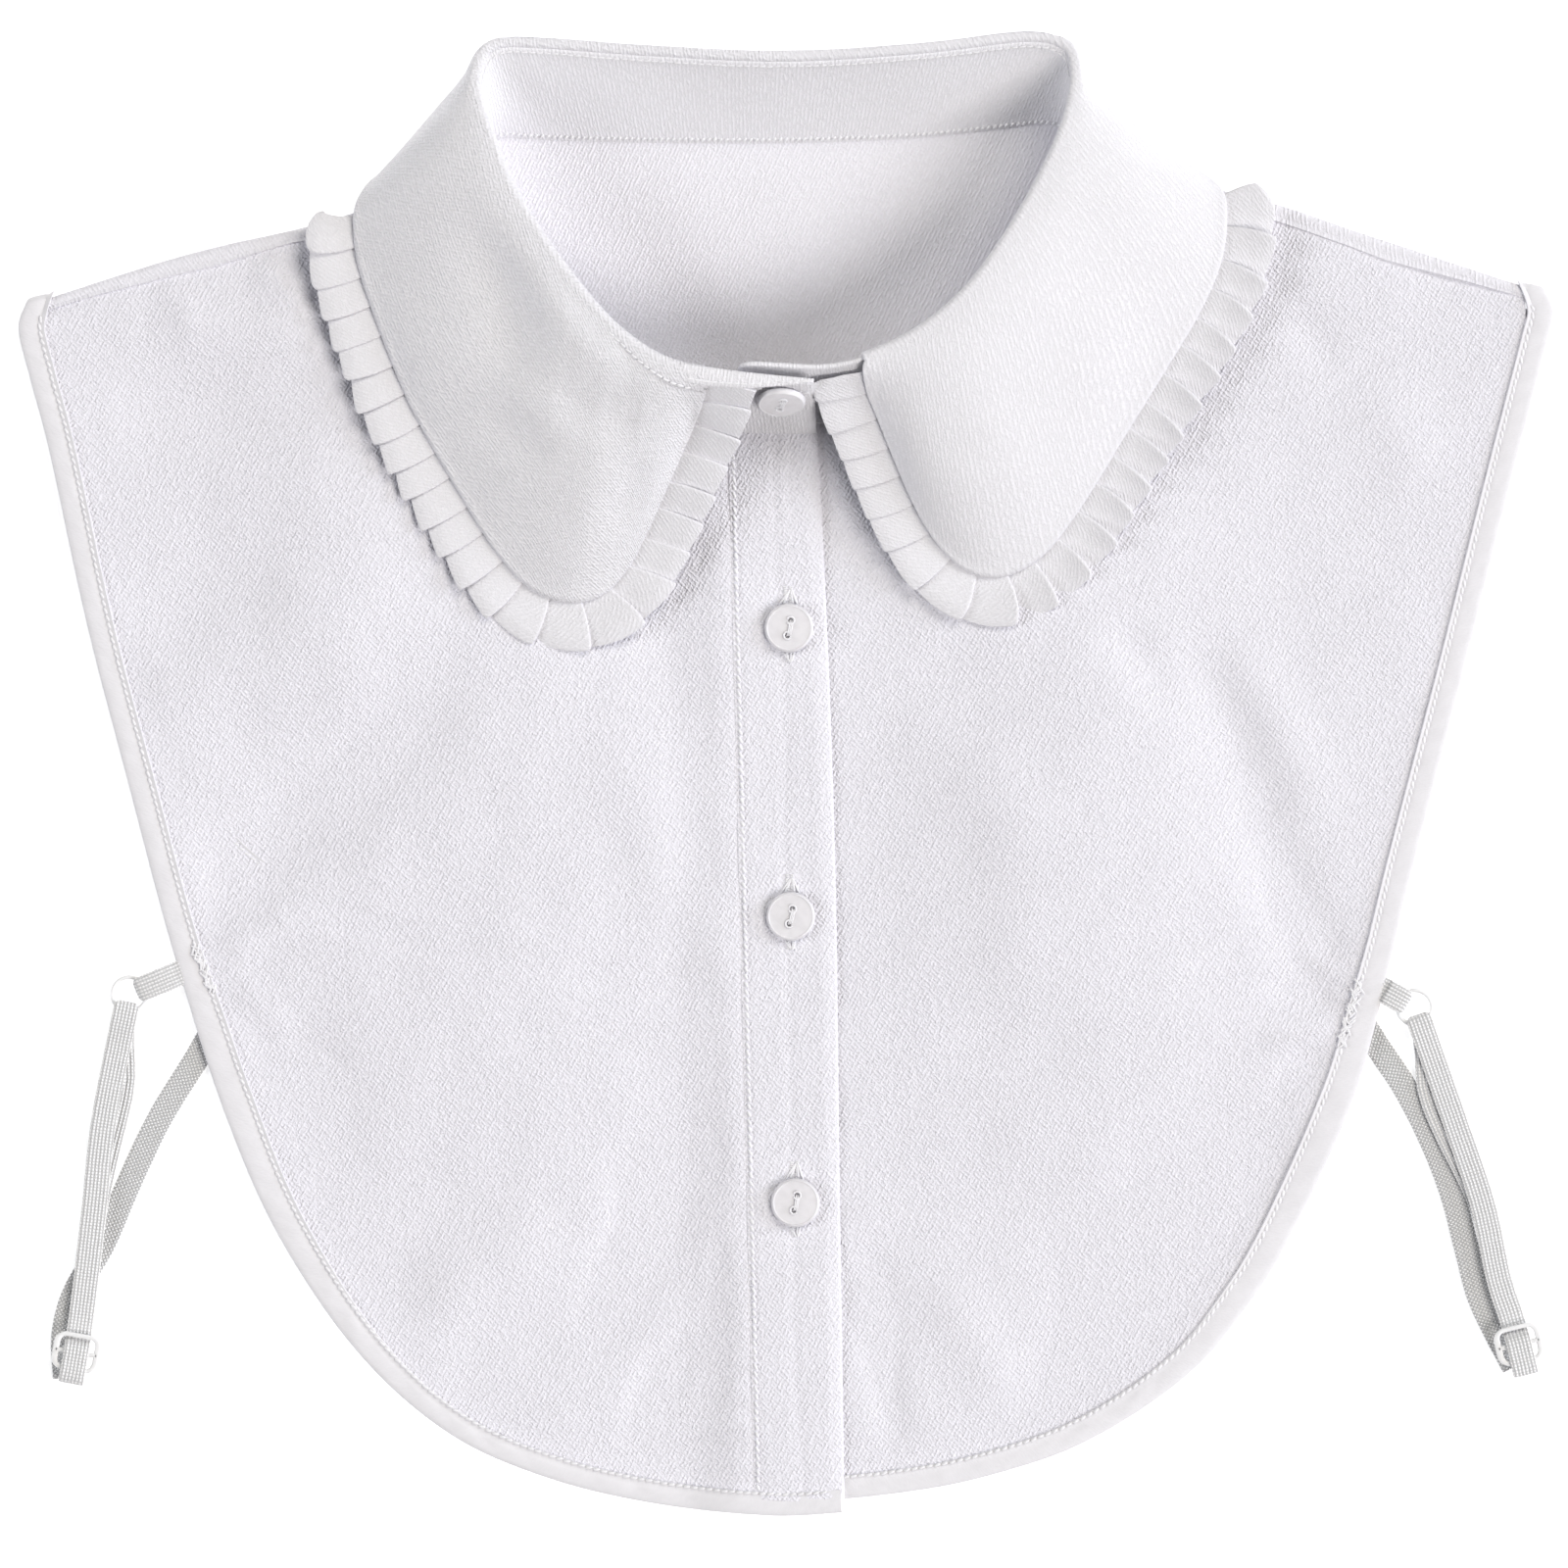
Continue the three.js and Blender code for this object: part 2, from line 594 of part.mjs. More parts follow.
// A knife-pleated strip along the fall's edge. Each pleat climbs a little and drops at its fold.
function makeFrill({ from, to }) {
  const edge = spaced(evenly(from, to, 120).map((section) => fallPoint(section, 1)), PLEAT_PITCH);
  const middle = (from + to) / 2;
  const away = fallPoint(middle, 1).sub(fallPoint(middle, 0.95));
  const facing = Math.sign(leftOf(edge, Math.floor(edge.length / 2)).dot(away));
  const grid = [];
  for (let i = 0; i + 1 < edge.length; i++) {
    for (const [share, rise] of [[0, 0], [1 - PLEAT_TURN, PLEAT_STEP]]) {
      const start = edge[i].clone().lerp(edge[i + 1], share);
      const out = leftOf(edge, i).lerp(leftOf(edge, i + 1), share).setLength(facing);
      const inside = start.clone().addScaledVector(out, 3 * SEAM_GAP);
      const outside = start.clone().addScaledVector(out, FRILL_WIDTH + 0.5 * rise);
      outside.z = Math.max(outside.z - 0.6, CLOTH / 2) + rise;
      inside.z += rise * 0.4;
      grid.push([inside, outside]);
    }
  }
  return wall(grid, 0.9 * CLOTH);
}

// ---------------------------------------------------------------- buttons and straps
// A flat disc with a thin raised rim and two holes, on its back at z = 0.
function makeButton() {
  const rim = BUTTON_RADIUS;
  const profile = table(["r", "z"], [
    [0, 0], [rim - 0.8, 0], [rim, 0.6], [rim, 1.5], [rim - 0.5, 2], [rim - 1.1, 1.6], [0, 1.4],
  ]);
  const disc = new THREE.LatheGeometry(profile.map(({ r, z }) => new THREE.Vector2(r, z)), 24);
  let button = toSolid(disc.rotateX(Math.PI / 2));
  for (const side of [-1, 1]) {
    const { apart, radius } = BUTTON_HOLES;
    const hole = new THREE.CylinderGeometry(radius, radius, 6, 8).rotateX(Math.PI / 2);
    button = button.subtract(toSolid(hole.translate(0, (side * apart) / 2, 0)));
  }
  return toGeometry(button);
}

// A flat ribbon that follows `route` in plan. The profile gives its height at distances along the
// route, and may run back on itself.
function ribbon(route, profile) {
  const curve = polyline(route);
  const length = curve.getLength();
  const grid = profile.map(([distance, z, width = ELASTIC_WIDTH]) => {
    const share = clamp(distance / length, 0, 1);
    const along = curve.getPointAt(share);
    const ahead = curve.getPointAt(Math.min(1, share + 0.01));
    const behind = curve.getPointAt(Math.max(0, share - 0.01));
    const side = new THREE.Vector3(behind.y - ahead.y, ahead.x - behind.x, 0).normalize();
    return [-1, 1].map((sign) => along.clone().addScaledVector(side, (sign * width) / 2).setZ(z));
  });
  return wall(grid, ELASTIC);
}

const sliderLength = 3 * SLIDER.bar + 2 * SLIDER.slot;

function makeSlider(route) {
  const rectangle = (shape, left, right, low, high) => {
    shape.moveTo(left, low);
    shape.lineTo(right, low);
    shape.lineTo(right, high);
    shape.lineTo(left, high);
    shape.closePath();
    return shape;
  };
  const half = SLIDER.width / 2;
  const frame = rectangle(new THREE.Shape(), -half, half, 0, sliderLength);
  for (const start of [SLIDER.bar, 2 * SLIDER.bar + SLIDER.slot]) {
    const inside = half - SLIDER.side;
    frame.holes.push(rectangle(new THREE.Path(), -inside, inside, start, start + SLIDER.slot));
  }
  const geometry = new THREE.ExtrudeGeometry(frame, { depth: SLIDER.thick, bevelEnabled: false });
  const [foot, next] = [route[0], route[2]];
  const heading = Math.atan2(next.y - foot.y, next.x - foot.x);
  geometry.translate(0, SLIDER.from, SLIDER.under);
  return geometry.rotateZ(heading - Math.PI / 2).translate(foot.x, foot.y, 0);
}

const lengthOf = (path) => polyline(path).getLength();
const everyFew = (from, to, step) => evenly(from, to, Math.max(1, Math.round((to - from) / step)));

// The elastic's way round a ring's wire that lies `wire` along its route: over, through and back.
function loopRound(wire) {
  const { radius, width, inside, leg } = LOOP;
  const turn = [90, 45, 0, -45, -90].map((degrees) => {
    const angle = THREE.MathUtils.degToRad(degrees);
    return [wire + inside + radius * Math.cos(angle), RING.height + radius * Math.sin(angle), width];
  });
  return [[wire - leg, RING.height + radius], ...turn, [wire - leg, RING.height - radius]];
}

function makeFrontRun(route) {
  const { from, bar, slot } = SLIDER;
  const top = from + sliderLength;
  const wire = lengthOf(route) - RING.radius;
  const foot = [
    [2.6, 1.75], [1.2, 2.2], [0.6, 3.2], [1.0, 4.5], [2.4, OVER_BARS], [from + 2, OVER_BARS],
  ];
  const throughSlot = [
    [top - bar - slot + 0.2, OVER_BARS], [top - bar - 1.5, 4.1], [top - bar - 0.4, FRONT_RUN],
  ];
  const run = everyFew(top + 1, wire - LOOP.leg - 6, 9).map((distance) => [distance, FRONT_RUN]);
  return ribbon(route, [...foot, ...throughSlot, ...run, ...loopRound(wire)]);
}

// The return run leaves the ring under the front run and slides out to one side of it.
function makeReturnRun(route, shift) {
  const start = SLIDER.from + sliderLength + 0.5;
  const end = lengthOf(route) - RING.radius - LOOP.leg - 2 * SEAM_GAP;
  const shifted = route.map((p, i) => {
    const share = i / (route.length - 1);
    return p.clone().setX(p.x + shift * ramp(0.45, 0.85, share) * (1 - ramp(0.85, 0.98, share)));
  });
  const run = everyFew(start, end - 5, 9).map((distance) => [distance, RETURN_RUN]);
  return ribbon(shifted, [...run, [end, RING.height - LOOP.radius]]);
}

function makeBackRun(route) {
  return ribbon(route, everyFew(0, lengthOf(route), 6).map((distance) => [distance, BACK_RUN]));
}

function makeStub(from, ring) {
  const wire = Math.hypot(ring.x - from.x, ring.y - from.y) - RING.radius;
  const loop = loopRound(wire);
  return ribbon([from, ring], [[0.4, 3.2], ...loop, [0.4, 1.8]]);
}

function strapPieces(side, { ring, stubFrom, front, returnShift, back }) {
  const route = pathThrough(front, 4);
  const hoop = new THREE.TorusGeometry(RING.radius, RING.wire, 6, 24);
  return [
    [`${side}_strap_back_run`, makeBackRun(pathThrough(back, 5)), materials.elastic],
    [`${side}_strap_front_run`, makeFrontRun(route), materials.elastic],
    [`${side}_strap_return_run`, makeReturnRun(route, returnShift), materials.elastic],
    [`${side}_strap_stub`, makeStub(stubFrom, ring), materials.elastic],
    [`${side}_ring`, hoop.translate(ring.x, ring.y, RING.height), materials.ring],
    [`${side}_slider`, makeSlider(route), materials.slider],
  ];
}

// ---------------------------------------------------------------- the object
const finish = (color, roughness) => () =>
  new THREE.MeshStandardMaterial({ color, roughness, metalness: 0 });
const materials = {
  crepe: finish("#eceaf0", 0.85),
  collarCloth: finish("#f1eff2", 0.82),
  satin: finish("#f2f1f6", 0.55),
  button: finish("#f0eef2", 0.3),
  elastic: finish("#f2f2f3", 0.8),
  ring: finish("#fafafa", 0.25),
  slider: finish("#f6f6f7", 0.35),
};

const collar = new THREE.Group();

function add(name, geometry, material, position = new THREE.Vector3(), tilt = 0) {
  const mesh = new THREE.Mesh(geometry, material());
  mesh.name = name;
  mesh.position.copy(position);
  mesh.rotation.x = tilt;
  collar.add(mesh);
}

add("back_panel", makeBack(), materials.crepe);
add("left_front", makeLeftFront(), materials.crepe);
add("right_front", makeRightFront(), materials.crepe);
add("placket", makePlacket(), materials.crepe);
add("back_binding", makeBackBinding(), materials.satin);
add("left_binding", makeLeftBinding(), materials.satin);
add("right_binding", makeRightBinding(), materials.satin);
add("collar_stand", makeStand(), materials.collarCloth);
add("collar_fall", makeFall(), materials.collarCloth);
add("left_frill", makeFrill(LEFT_FRILL), materials.collarCloth);
add("back_frill", makeFrill(BACK_FRILL), materials.collarCloth);
add("right_frill", makeFrill(RIGHT_FRILL), materials.collarCloth);

buttonSpots.forEach(({ x, y }, i) => {
  const top = placketHeight(x, y) + PLACKET_CLOTH + BUTTON_LIFT;
  add(`placket_button_${i + 1}`, makeButton(), materials.button, new THREE.Vector3(x, y, top));
});

const bandFace = standPoint(BAND_BUTTON.along, BAND_BUTTON.up);
const bandRise = standPoint(BAND_BUTTON.along, 1).sub(standPoint(BAND_BUTTON.along, 0));
const bandTilt = Math.atan2(bandRise.z, bandRise.y);
const offBand = new THREE.Vector3(0, -Math.sin(bandTilt), Math.cos(bandTilt));
add(
  "band_button",
  makeButton(),
  materials.button,
  bandFace.addScaledVector(offBand, STAND_CLOTH / 2 + BUTTON_LIFT),
  bandTilt,
);

for (const [side, strap] of Object.entries(straps)) {
  for (const [name, geometry, material] of strapPieces(side, strap)) add(name, geometry, material);
}

export default collar;
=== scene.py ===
"""A white detachable peter pan collar, laid flat: its cloth, stitching, buttons and elastic straps.

Lengths are in millimetres, as in the part's own sizes, until add_piece() turns them into metres. +X is to
the right as one looks down on the collar, +Y is towards the back of the neck, and the table is at z = 0.
"""
import math

import bpy
import numpy as np
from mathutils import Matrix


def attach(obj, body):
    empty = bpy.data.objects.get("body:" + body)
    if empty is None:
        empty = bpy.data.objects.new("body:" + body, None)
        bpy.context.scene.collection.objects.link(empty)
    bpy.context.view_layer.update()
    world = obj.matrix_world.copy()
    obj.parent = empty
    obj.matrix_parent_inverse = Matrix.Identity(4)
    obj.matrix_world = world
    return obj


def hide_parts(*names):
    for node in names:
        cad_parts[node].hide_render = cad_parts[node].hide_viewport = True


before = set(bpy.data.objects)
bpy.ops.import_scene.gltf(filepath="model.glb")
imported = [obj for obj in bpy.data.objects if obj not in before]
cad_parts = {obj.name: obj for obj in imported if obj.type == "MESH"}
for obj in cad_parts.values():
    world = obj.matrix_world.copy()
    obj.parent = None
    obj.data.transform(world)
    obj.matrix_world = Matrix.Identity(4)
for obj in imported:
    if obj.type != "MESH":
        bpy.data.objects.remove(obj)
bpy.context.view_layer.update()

MM = 0.001

# ------------------------------------------------------------------ driving sizes, as in the part
CLOTH = 1.0  # room that one layer of crepe takes up
SEAM_GAP = 0.3
NECK_SETBACK = 1.1  # from the middle of the stand to the neck edges of the panels
LAYER = 1.9  # from the underside of one layer to the next one up
BACK_NECK_RISE = 3.9  # the back lies this high over the fall that is tucked beneath it
PUFF = {"rise": 3.5, "x": 64, "reach_x": 60, "y": -20, "reach_y": 115}  # how the fronts' middles stand up
SHOULDER_TURN = {"centre": 1.45, "reach": 0.95}  # of the cloth's round fold, in from the shoulder line
PLACKET_LEAN = -0.0244  # sideways run of the placket, per mm of y
PLACKET_LEFT = -12.0  # edges of the placket, where the lean is zero
PLACKET_RIGHT = 10.0
UNDERLAP_EDGE = -9.0  # hidden edge of the right front, under the placket
FALL_SETBACK = 1.35  # from the middle of the stand to the start of the fall
LEAST_REACH = 1.6  # how far out the fall runs before it turns down, at the least
FALL_PROUD = 3.0  # how far a sloping section of the fall bulges, at the most
FRILL_WIDTH = 11.0
PLEAT_PITCH = 7.6
BUTTON_RADIUS = 5.75
HOLES_APART = 3.6
ELASTIC_WIDTH = 5.9
ELASTIC = 0.9  # its thickness
RING_RADIUS = 4.0  # to the middle of its wire
RING_WIRE = 0.5
RING_HEIGHT = 2.4
LOOP = {"radius": 1.45, "width": 4.4, "inside": 0.45, "leg": 3.0}  # the elastic's turn in a ring
SLIDER = {"width": 11.2, "side": 1.5, "bar": 1.1, "slot": 2.9, "under": 3.6, "thick": 1.2, "from": 3.2}
SLIDER_LENGTH = 3 * SLIDER["bar"] + 2 * SLIDER["slot"]
BACK_RUN = 0.45  # heights of the elastic's middle: on the table,
RETURN_RUN = 1.65  # under its own front run,
FRONT_RUN = 2.85  # on top,
OVER_BARS = 5.3  # and over the slider's bars

# ------------------------------------------------------------------ sizes of what only shows here
SHEET = 0.5  # one layer of crepe as seen at an edge
LEAST_GAP = 0.02  # cloth keeps this far above what it lies on
BUTTON_LIFT = 0.4  # from the cloth to a button's back
HOLE_RADIUS = 0.55
HOLE_TURN = math.radians(12)
HOLES_LEAN = (math.sin(HOLE_TURN), math.cos(HOLE_TURN))  # the way from hole to hole
STITCH = {"pitch": 1.8, "length": 1.5, "width": 0.5, "height": 0.36}


# ------------------------------------------------------------------ tables
def table(columns, rows):
    """Rows of numbers as one array for each named column. A short row lacks its last columns."""
    names = columns.split()
    filled = np.array([(*row, *[math.nan] * (len(names) - len(row))) for row in rows], float)
    return dict(zip(names, filled.T.copy()))


# The collar stand, from its left end at the centre front round the back of the neck to the end of the
# right underlap: the neck seam at its foot, and the roll line along its top.
stand = table("seam_x seam_y seam_z roll_x roll_y roll_z", [
    (7, 79.8, 6.0, 6.6, 91.5, 27.5),
    (-13, 80.2, 6.0, -13.5, 93.6, 28.2),
    (-29, 84, 6.4, -28, 96.5, 28.6),
    (-44, 92, 7.2, -39.5, 104, 28.6),
    (-57, 104, 8.2, -49, 114.5, 28.2),
    (-67, 118, 8.6, -57, 125.5, 27.4),
    (-73.5, 131, 8.2, -64, 137, 26.4),
    (-76.5, 140, 7, -68.5, 148, 25.6),
    (-72.5, 147, 5.2, -71.5, 156.8, 24),
    (-67, 149, 4.6, -71.8, 164.6, 22.4),
    (-60, 148.6, 4.5, -67.9, 169.9, 20.8),
    (-50, 148, 4.4, -57.6, 170.2, 20.2),
    (-28, 147.6, 4.4, -32, 168.4, 20),
    (0, 147.6, 4.4, 0, 167.1, 20),
    (28, 148.6, 4.4, 32, 169, 20),
    (50, 150.8, 4.4, 55.6, 171.7, 20.2),
    (58, 151.9, 4.5, 64.6, 170, 20.8),
    (64, 151.4, 4.6, 67, 164.4, 22.4),
    (69.5, 148, 5.2, 66, 155.8, 24),
    (73, 140.5, 7, 63, 147, 25.6),
    (70, 130, 8.2, 57, 135, 26.4),
    (63, 117, 8.6, 50, 123.5, 27.4),
    (53, 103.5, 8.2, 42, 113, 28.2),
    (40, 92, 7, 32, 104.4, 28.2),
    (26, 85, 5, 20.5, 98.5, 27.6),
    (10, 82.6, 4, 9, 95.6, 27),
    (-8, 82.7, 4, -8, 96.2, 26.6),
    (-11.5, 82.8, 4, -11.5, 94.6, 24),
])
STAND_END = len(stand["seam_x"]) - 1
LEFT_NECK_POINT = 7  # rows of the stand where the shoulders meet the neck
RIGHT_NECK_POINT = 19

# The fall: where each section leaves the stand, where its free edge lies, and the point its curve is
# drawn towards before it turns under. A section with no turn slopes down to the front beneath it.
fall = table("along edge_x edge_y edge_z turn_x turn_y turn_z", [
    (1.35, -18.6, 91.2, 26.6),
    (1.5, -20.3, 85, 21),
    (1.7, -22.7, 79.3, 16.5),
    (2.0, -28.4, 66.4, 12),
    (2.3, -33.2, 55.8, 9.5),
    (2.6, -37.6, 47.4, 8),
    (2.85, -43.8, 41.3, 7),
    (3.1, -51.6, 40, 6.6),
    (3.5, -60.1, 43.2, 6.6),
    (3.95, -68.4, 52.2, 7),
    (4.5, -78.8, 69, 7.4),
    (5.1, -88.4, 86.4, 8),
    (5.7, -95.4, 103.7, 8.4),
    (6.3, -100.2, 117.9, 8.6),
    (6.9, -101.5, 127.4, 8.6),
    (7.5, -100.6, 134, 8),
    (8.0, -96, 138.6, 4.5, -93, 145, 9),
    (8.4, -86, 138.5, 1.4, -88, 155, 1),
    (9.0, -72, 136, 0.6, -77, 165, 0),
    (10, -58, 136.5, 0.6, -69.5, 171, 0),
    (11, -46, 137.5, 0.6, -55, 171, 0),
    (12, -25, 138.5, 0.6, -30, 169.5, 0),
    (13, 0, 139, 0.6, 0, 168.5, 0),
    (14, 25, 140, 0.6, 30, 170, 0),
    (15, 45, 140, 0.6, 54, 172.5, 0),
    (16, 55, 139, 0.6, 66.5, 171, 0),
    (17, 68, 138.5, 0.6, 73, 165, 0),
    (17.6, 83, 140, 1.4, 84, 155.5, 1),
    (18.0, 94, 140.8, 4.5, 92, 148, 9),
    (18.5, 102, 136.5, 8),
    (18.95, 103.2, 129.5, 8.6),
    (19.5, 101.8, 119.5, 8.6),
    (20.1, 96.7, 107.6, 8.4),
    (20.7, 88, 93, 8),
    (21.3, 78.1, 77, 7.4),
    (21.8, 69.5, 63, 7),
    (22.2, 60.4, 51.2, 6.8),
    (22.5, 51, 46, 6.6),
    (22.75, 43, 47, 7),
    (23.0, 36.5, 52.3, 8),
    (23.3, 31.2, 60.4, 9.6),
    (23.6, 26, 72, 12.5),
    (23.85, 21.7, 82.5, 17),
    (24.05, 19.3, 88, 21),
    (24.25, 17.8, 93.6, 26.2),
])
FALL_END = len(fall["along"]) - 1
FRILLS = table("first last", [(0.15, 14.5), (16.0, 27.7), (29.15, 43.7)])  # rows of the fall

left_outline = table("x y", [
    (-178.6, 109.8), (-180.2, 104), (-177.4, 92.2), (-172.8, 74.7), (-164.1, 34.7),
    (-154.4, -2.6), (-144.1, -41.2), (-131.7, -80.1), (-118.8, -109.3), (-100.2, -136.4),
    (-79, -155.1), (-55.5, -165.6), (-29.8, -171.6), (-3.8, -174.2), (13, -173.5),
])
right_outline = table("x y", [
    (178.4, 112.4), (180.1, 108), (178, 99), (169.6, 66.4), (159, 24.1),
    (147.3, -21.4), (139.7, -52.9), (132.1, -78.9), (116.7, -111.8), (105, -129.3),
    (95.6, -139.9), (81.5, -150.5), (65.2, -159.2), (46.3, -165.2), (31.6, -168.2),
    (13.9, -170.3), (-6, -171.2),
])
back_outline = table("x y", [  # on one side; the other side is its mirror image
    (177.5, 108), (172.5, 88), (163, 50), (152, 14), (142, -8),
    (131, -22), (118, -30), (93, -37), (50, -46.5), (0, -51.5),
])
left_shoulder = table("x y", [
    (-171, 112.1), (-147.1, 119.8), (-131.7, 123.9), (-111.2, 128.5), (-92.6, 134.3), (-79.2, 138.6),
])
right_shoulder = table("x y", [
    (171, 114.8), (154.7, 120.2), (133.7, 127.1), (114.4, 133.6), (95, 138.2), (75.8, 142.2),
])
button_spots = table("x y", [(0.6, 34), (1, -33.6), (2.1, -100.8)])
BAND_BUTTON = {"along": 0.45, "up": 0.68}

# Each strap is one length of elastic: from the back's side, round the slider, up to the ring and down
# again behind itself. The front run's route goes from the slider's foot to the ring.
STRAPS = {
    "left": {
        "ring": (-154.2, -51.9),
        "stub_from": (-142.9, -47.2),
        "front": table("x y", [
            (-168, -143.5), (-166.4, -134.6), (-164.3, -118.7), (-162.3, -101.5), (-160, -80.8),
            (-154.2, -51.9),
        ]),
        "return_shift": 2.9,
        "back": table("x y", [
            (-125.6, -31), (-129.8, -50), (-137.2, -64.9), (-146.9, -80.8), (-154.4, -96.6), (-160.3, -110.4),
            (-167, -122), (-169.6, -132), (-169.2, -142),
        ]),
    },
    "right": {
        "ring": (147.4, -55),
        "stub_from": (140.6, -51.2),
        "front": table("x y", [
            (173.6, -141.5), (170.5, -129.1), (167.1, -118.7), (163.4, -101.5), (157.4, -83.5), (147.4, -55),
        ]),
        "return_shift": -3.4,
        "back": table("x y", [
            (125.6, -31), (130.6, -50), (137.9, -62.8), (145.2, -73.9), (151.5, -86.3), (156.3, -98.7),
            (159.7, -111.8), (163.2, -124.3), (170.8, -139.4),
        ]),
    },
}

# Creases of the fronts: a soft ridge (lift above 0) or trough along a line, a little bowed to its left.
left_creases = table("x1 y1 x2 y2 width lift bow", [
    (-116, 100, -98, 10, 24, 1.9, 0),
    (-128, -70, -96, -134, 14, -0.7, 0),
    (-104, 88, -158, 87, 10, -1.0, 4),
    (-101, 99, -150, 104, 8, 1.3, -3),
    (-124, 119, -112, 108, 4, 0.9, 0),
    (-146, 116, -139, 100, 4, 0.5, 1),
    (-76, 30, -140, -28, 13, -1.2, 6),
    (-98, 34, -156, 10, 11, 0.9, -5),
    (-30, -88, -46, -132, 7, -1.1, 3),
    (-22, -132, -36, -160, 4.5, -0.9, -2),
    (-15, -108, -18, -150, 3.5, -0.9, 1),
    (-52, -105, -88, -138, 9, 0.7, -5),
    (-120, -56, -102, -92, 7, -0.6, 3),
    (-134, -44, -110, -30, 5, 0.6, 1),
    (-132, -52, -116, -62, 4, 0.5, 2),
    (-40, 20, -27, -44, 9, 0.8, 2),
])
right_creases = table("x1 y1 x2 y2 width lift bow", [
    (84, 52, 70, -60, 26, 1.2, 0),
    (112, -84, 66, -140, 15, -0.8, 0),
    (90, 32, 112, -12, 8, -1.3, 3),
    (108, -6, 133, -54, 7, -1.3, -3),
    (104, 30, 126, -14, 7, 0.9, 2),
    (76, 36, 90, 14, 5, -0.9, 1),
    (132, -50, 118, -36, 2.6, 0.8, 1),
    (131, -55, 113, -50, 2.4, -0.7, -1),
    (130, -59, 111, -62, 2.8, 0.8, 1),
    (128, -64, 114, -77, 3, -0.6, -1),
    (20, -112, 26, -160, 4, -1.0, -1),
    (33, -118, 52, -152, 7, 0.7, 3),
    (132, 92, 150, 70, 9, 0.8, 3),
    (118, 112, 128, 92, 5, -0.6, 1),
    (40, 10, 58, -52, 12, 0.7, 5),
    (94, -98, 66, -132, 8, -0.6, -4),
])


leaf_creases = table("x1 y1 x2 y2 width lift bow", [
    (-74, 130, -62, 90, 8, -3.0, 2),
    (-59, 136, -47, 100, 8, 2.8, 2),
    (-50, 99, -33, 98, 4.5, 1.1, 1),
    (-54, 87, -34, 84, 5.5, -1.5, -1),
    (-73, 84, -55, 73, 5, -1.3, 1),
    (-70, 93, -52, 82, 4, 0.6, 1),
    (-33, 74, -42, 58, 4, -1.0, 1),
    (-92, 112, -78, 82, 8, 1.0, 1),
    (62, 108, 50, 78, 10, -0.6, 2),
    (34, 88, 44, 72, 6, -0.4, 0),
    (80, 112, 68, 84, 9, 0.5, -1),
])


# ------------------------------------------------------------------ curves
def smooth_step(low, high, value):
    """0 below low, 1 above high, and a smooth step between them."""
    t = np.clip((np.asarray(value, float) - low) / (high - low), 0, 1)
    return t * t * (3 - 2 * t)


def hump(value, middle, reach):
    """1 where a value is at the middle, fading to nothing on both sides of it."""
    return np.exp(-((value - middle) / reach) ** 2)


def mix(a, b, t):
    return a + (b - a) * t


def size_of(vectors):
    return np.linalg.norm(vectors, axis=-1)


def unit(vectors):
    return vectors / np.maximum(size_of(vectors)[..., None], 1e-9)


def row_at(rows, t):
    """Every column of a table at fractional rows, on a smooth curve through the rows."""
    t = np.asarray(t, float)
    last = len(next(iter(rows.values()))) - 1
    i = np.clip(np.floor(t).astype(int), 0, last - 1)
    f = t - i

    def between(column):
        p, q, r, s = (column[np.clip(i + k, 0, last)] for k in (-1, 0, 1, 2))
        return q + 0.5 * f * (r - p + f * (2 * p - 5 * q + 4 * r - s + f * (3 * (q - r) + s - p)))

    return {name: between(column) for name, column in rows.items()}


def stacked(*columns):
    return np.stack(np.broadcast_arrays(*columns), axis=-1).astype(float)


def point_at(row, prefix):
    """The point that three columns of a table give."""
    return stacked(*(row[f"{prefix}_{axis}"] for axis in "xyz"))


def arc_lengths(path):
    """The distance to each point along a path, or along each row of a grid."""
    return np.cumsum(size_of(np.diff(path, axis=-2, prepend=path[..., :1, :])), axis=-1)


def straight_up(points):
    return np.broadcast_to([0, 0, 1.0], np.shape(points))


def length_of(path):
    return arc_lengths(path)[-1]


def sampled(path, distances):
    """Points of a path at distances along it."""
    lengths = arc_lengths(path)
    return np.stack([np.interp(distances, lengths, path[:, k]) for k in range(path.shape[1])], axis=-1)


def spaced(path, step):
    length = length_of(path)
    return sampled(path, np.linspace(0, length, max(2, round(length / step)) + 1))


def path_through(rows, step, first=0, last=None):
    """A smooth path through a table of x, y and perhaps z, as points about `step` apart."""
    last = len(rows["x"]) - 1 if last is None else last
    row = row_at(rows, np.linspace(first, last, math.ceil((last - first) * 12) + 1))
    return spaced(stacked(row["x"], row["y"], row.get("z", np.zeros_like(row["x"]))), step)


def left_of(path):
    """Unit vectors in plan, to the left of the direction of travel."""
    ends = np.concatenate([path[:1], path, path[-1:]])
    run = ends[2:] - ends[:-2]
    return unit(stacked(-run[:, 1], run[:, 0], np.zeros(len(run))))


def moved(path, distance):
    return path + left_of(path) * np.reshape(distance, (-1, 1))


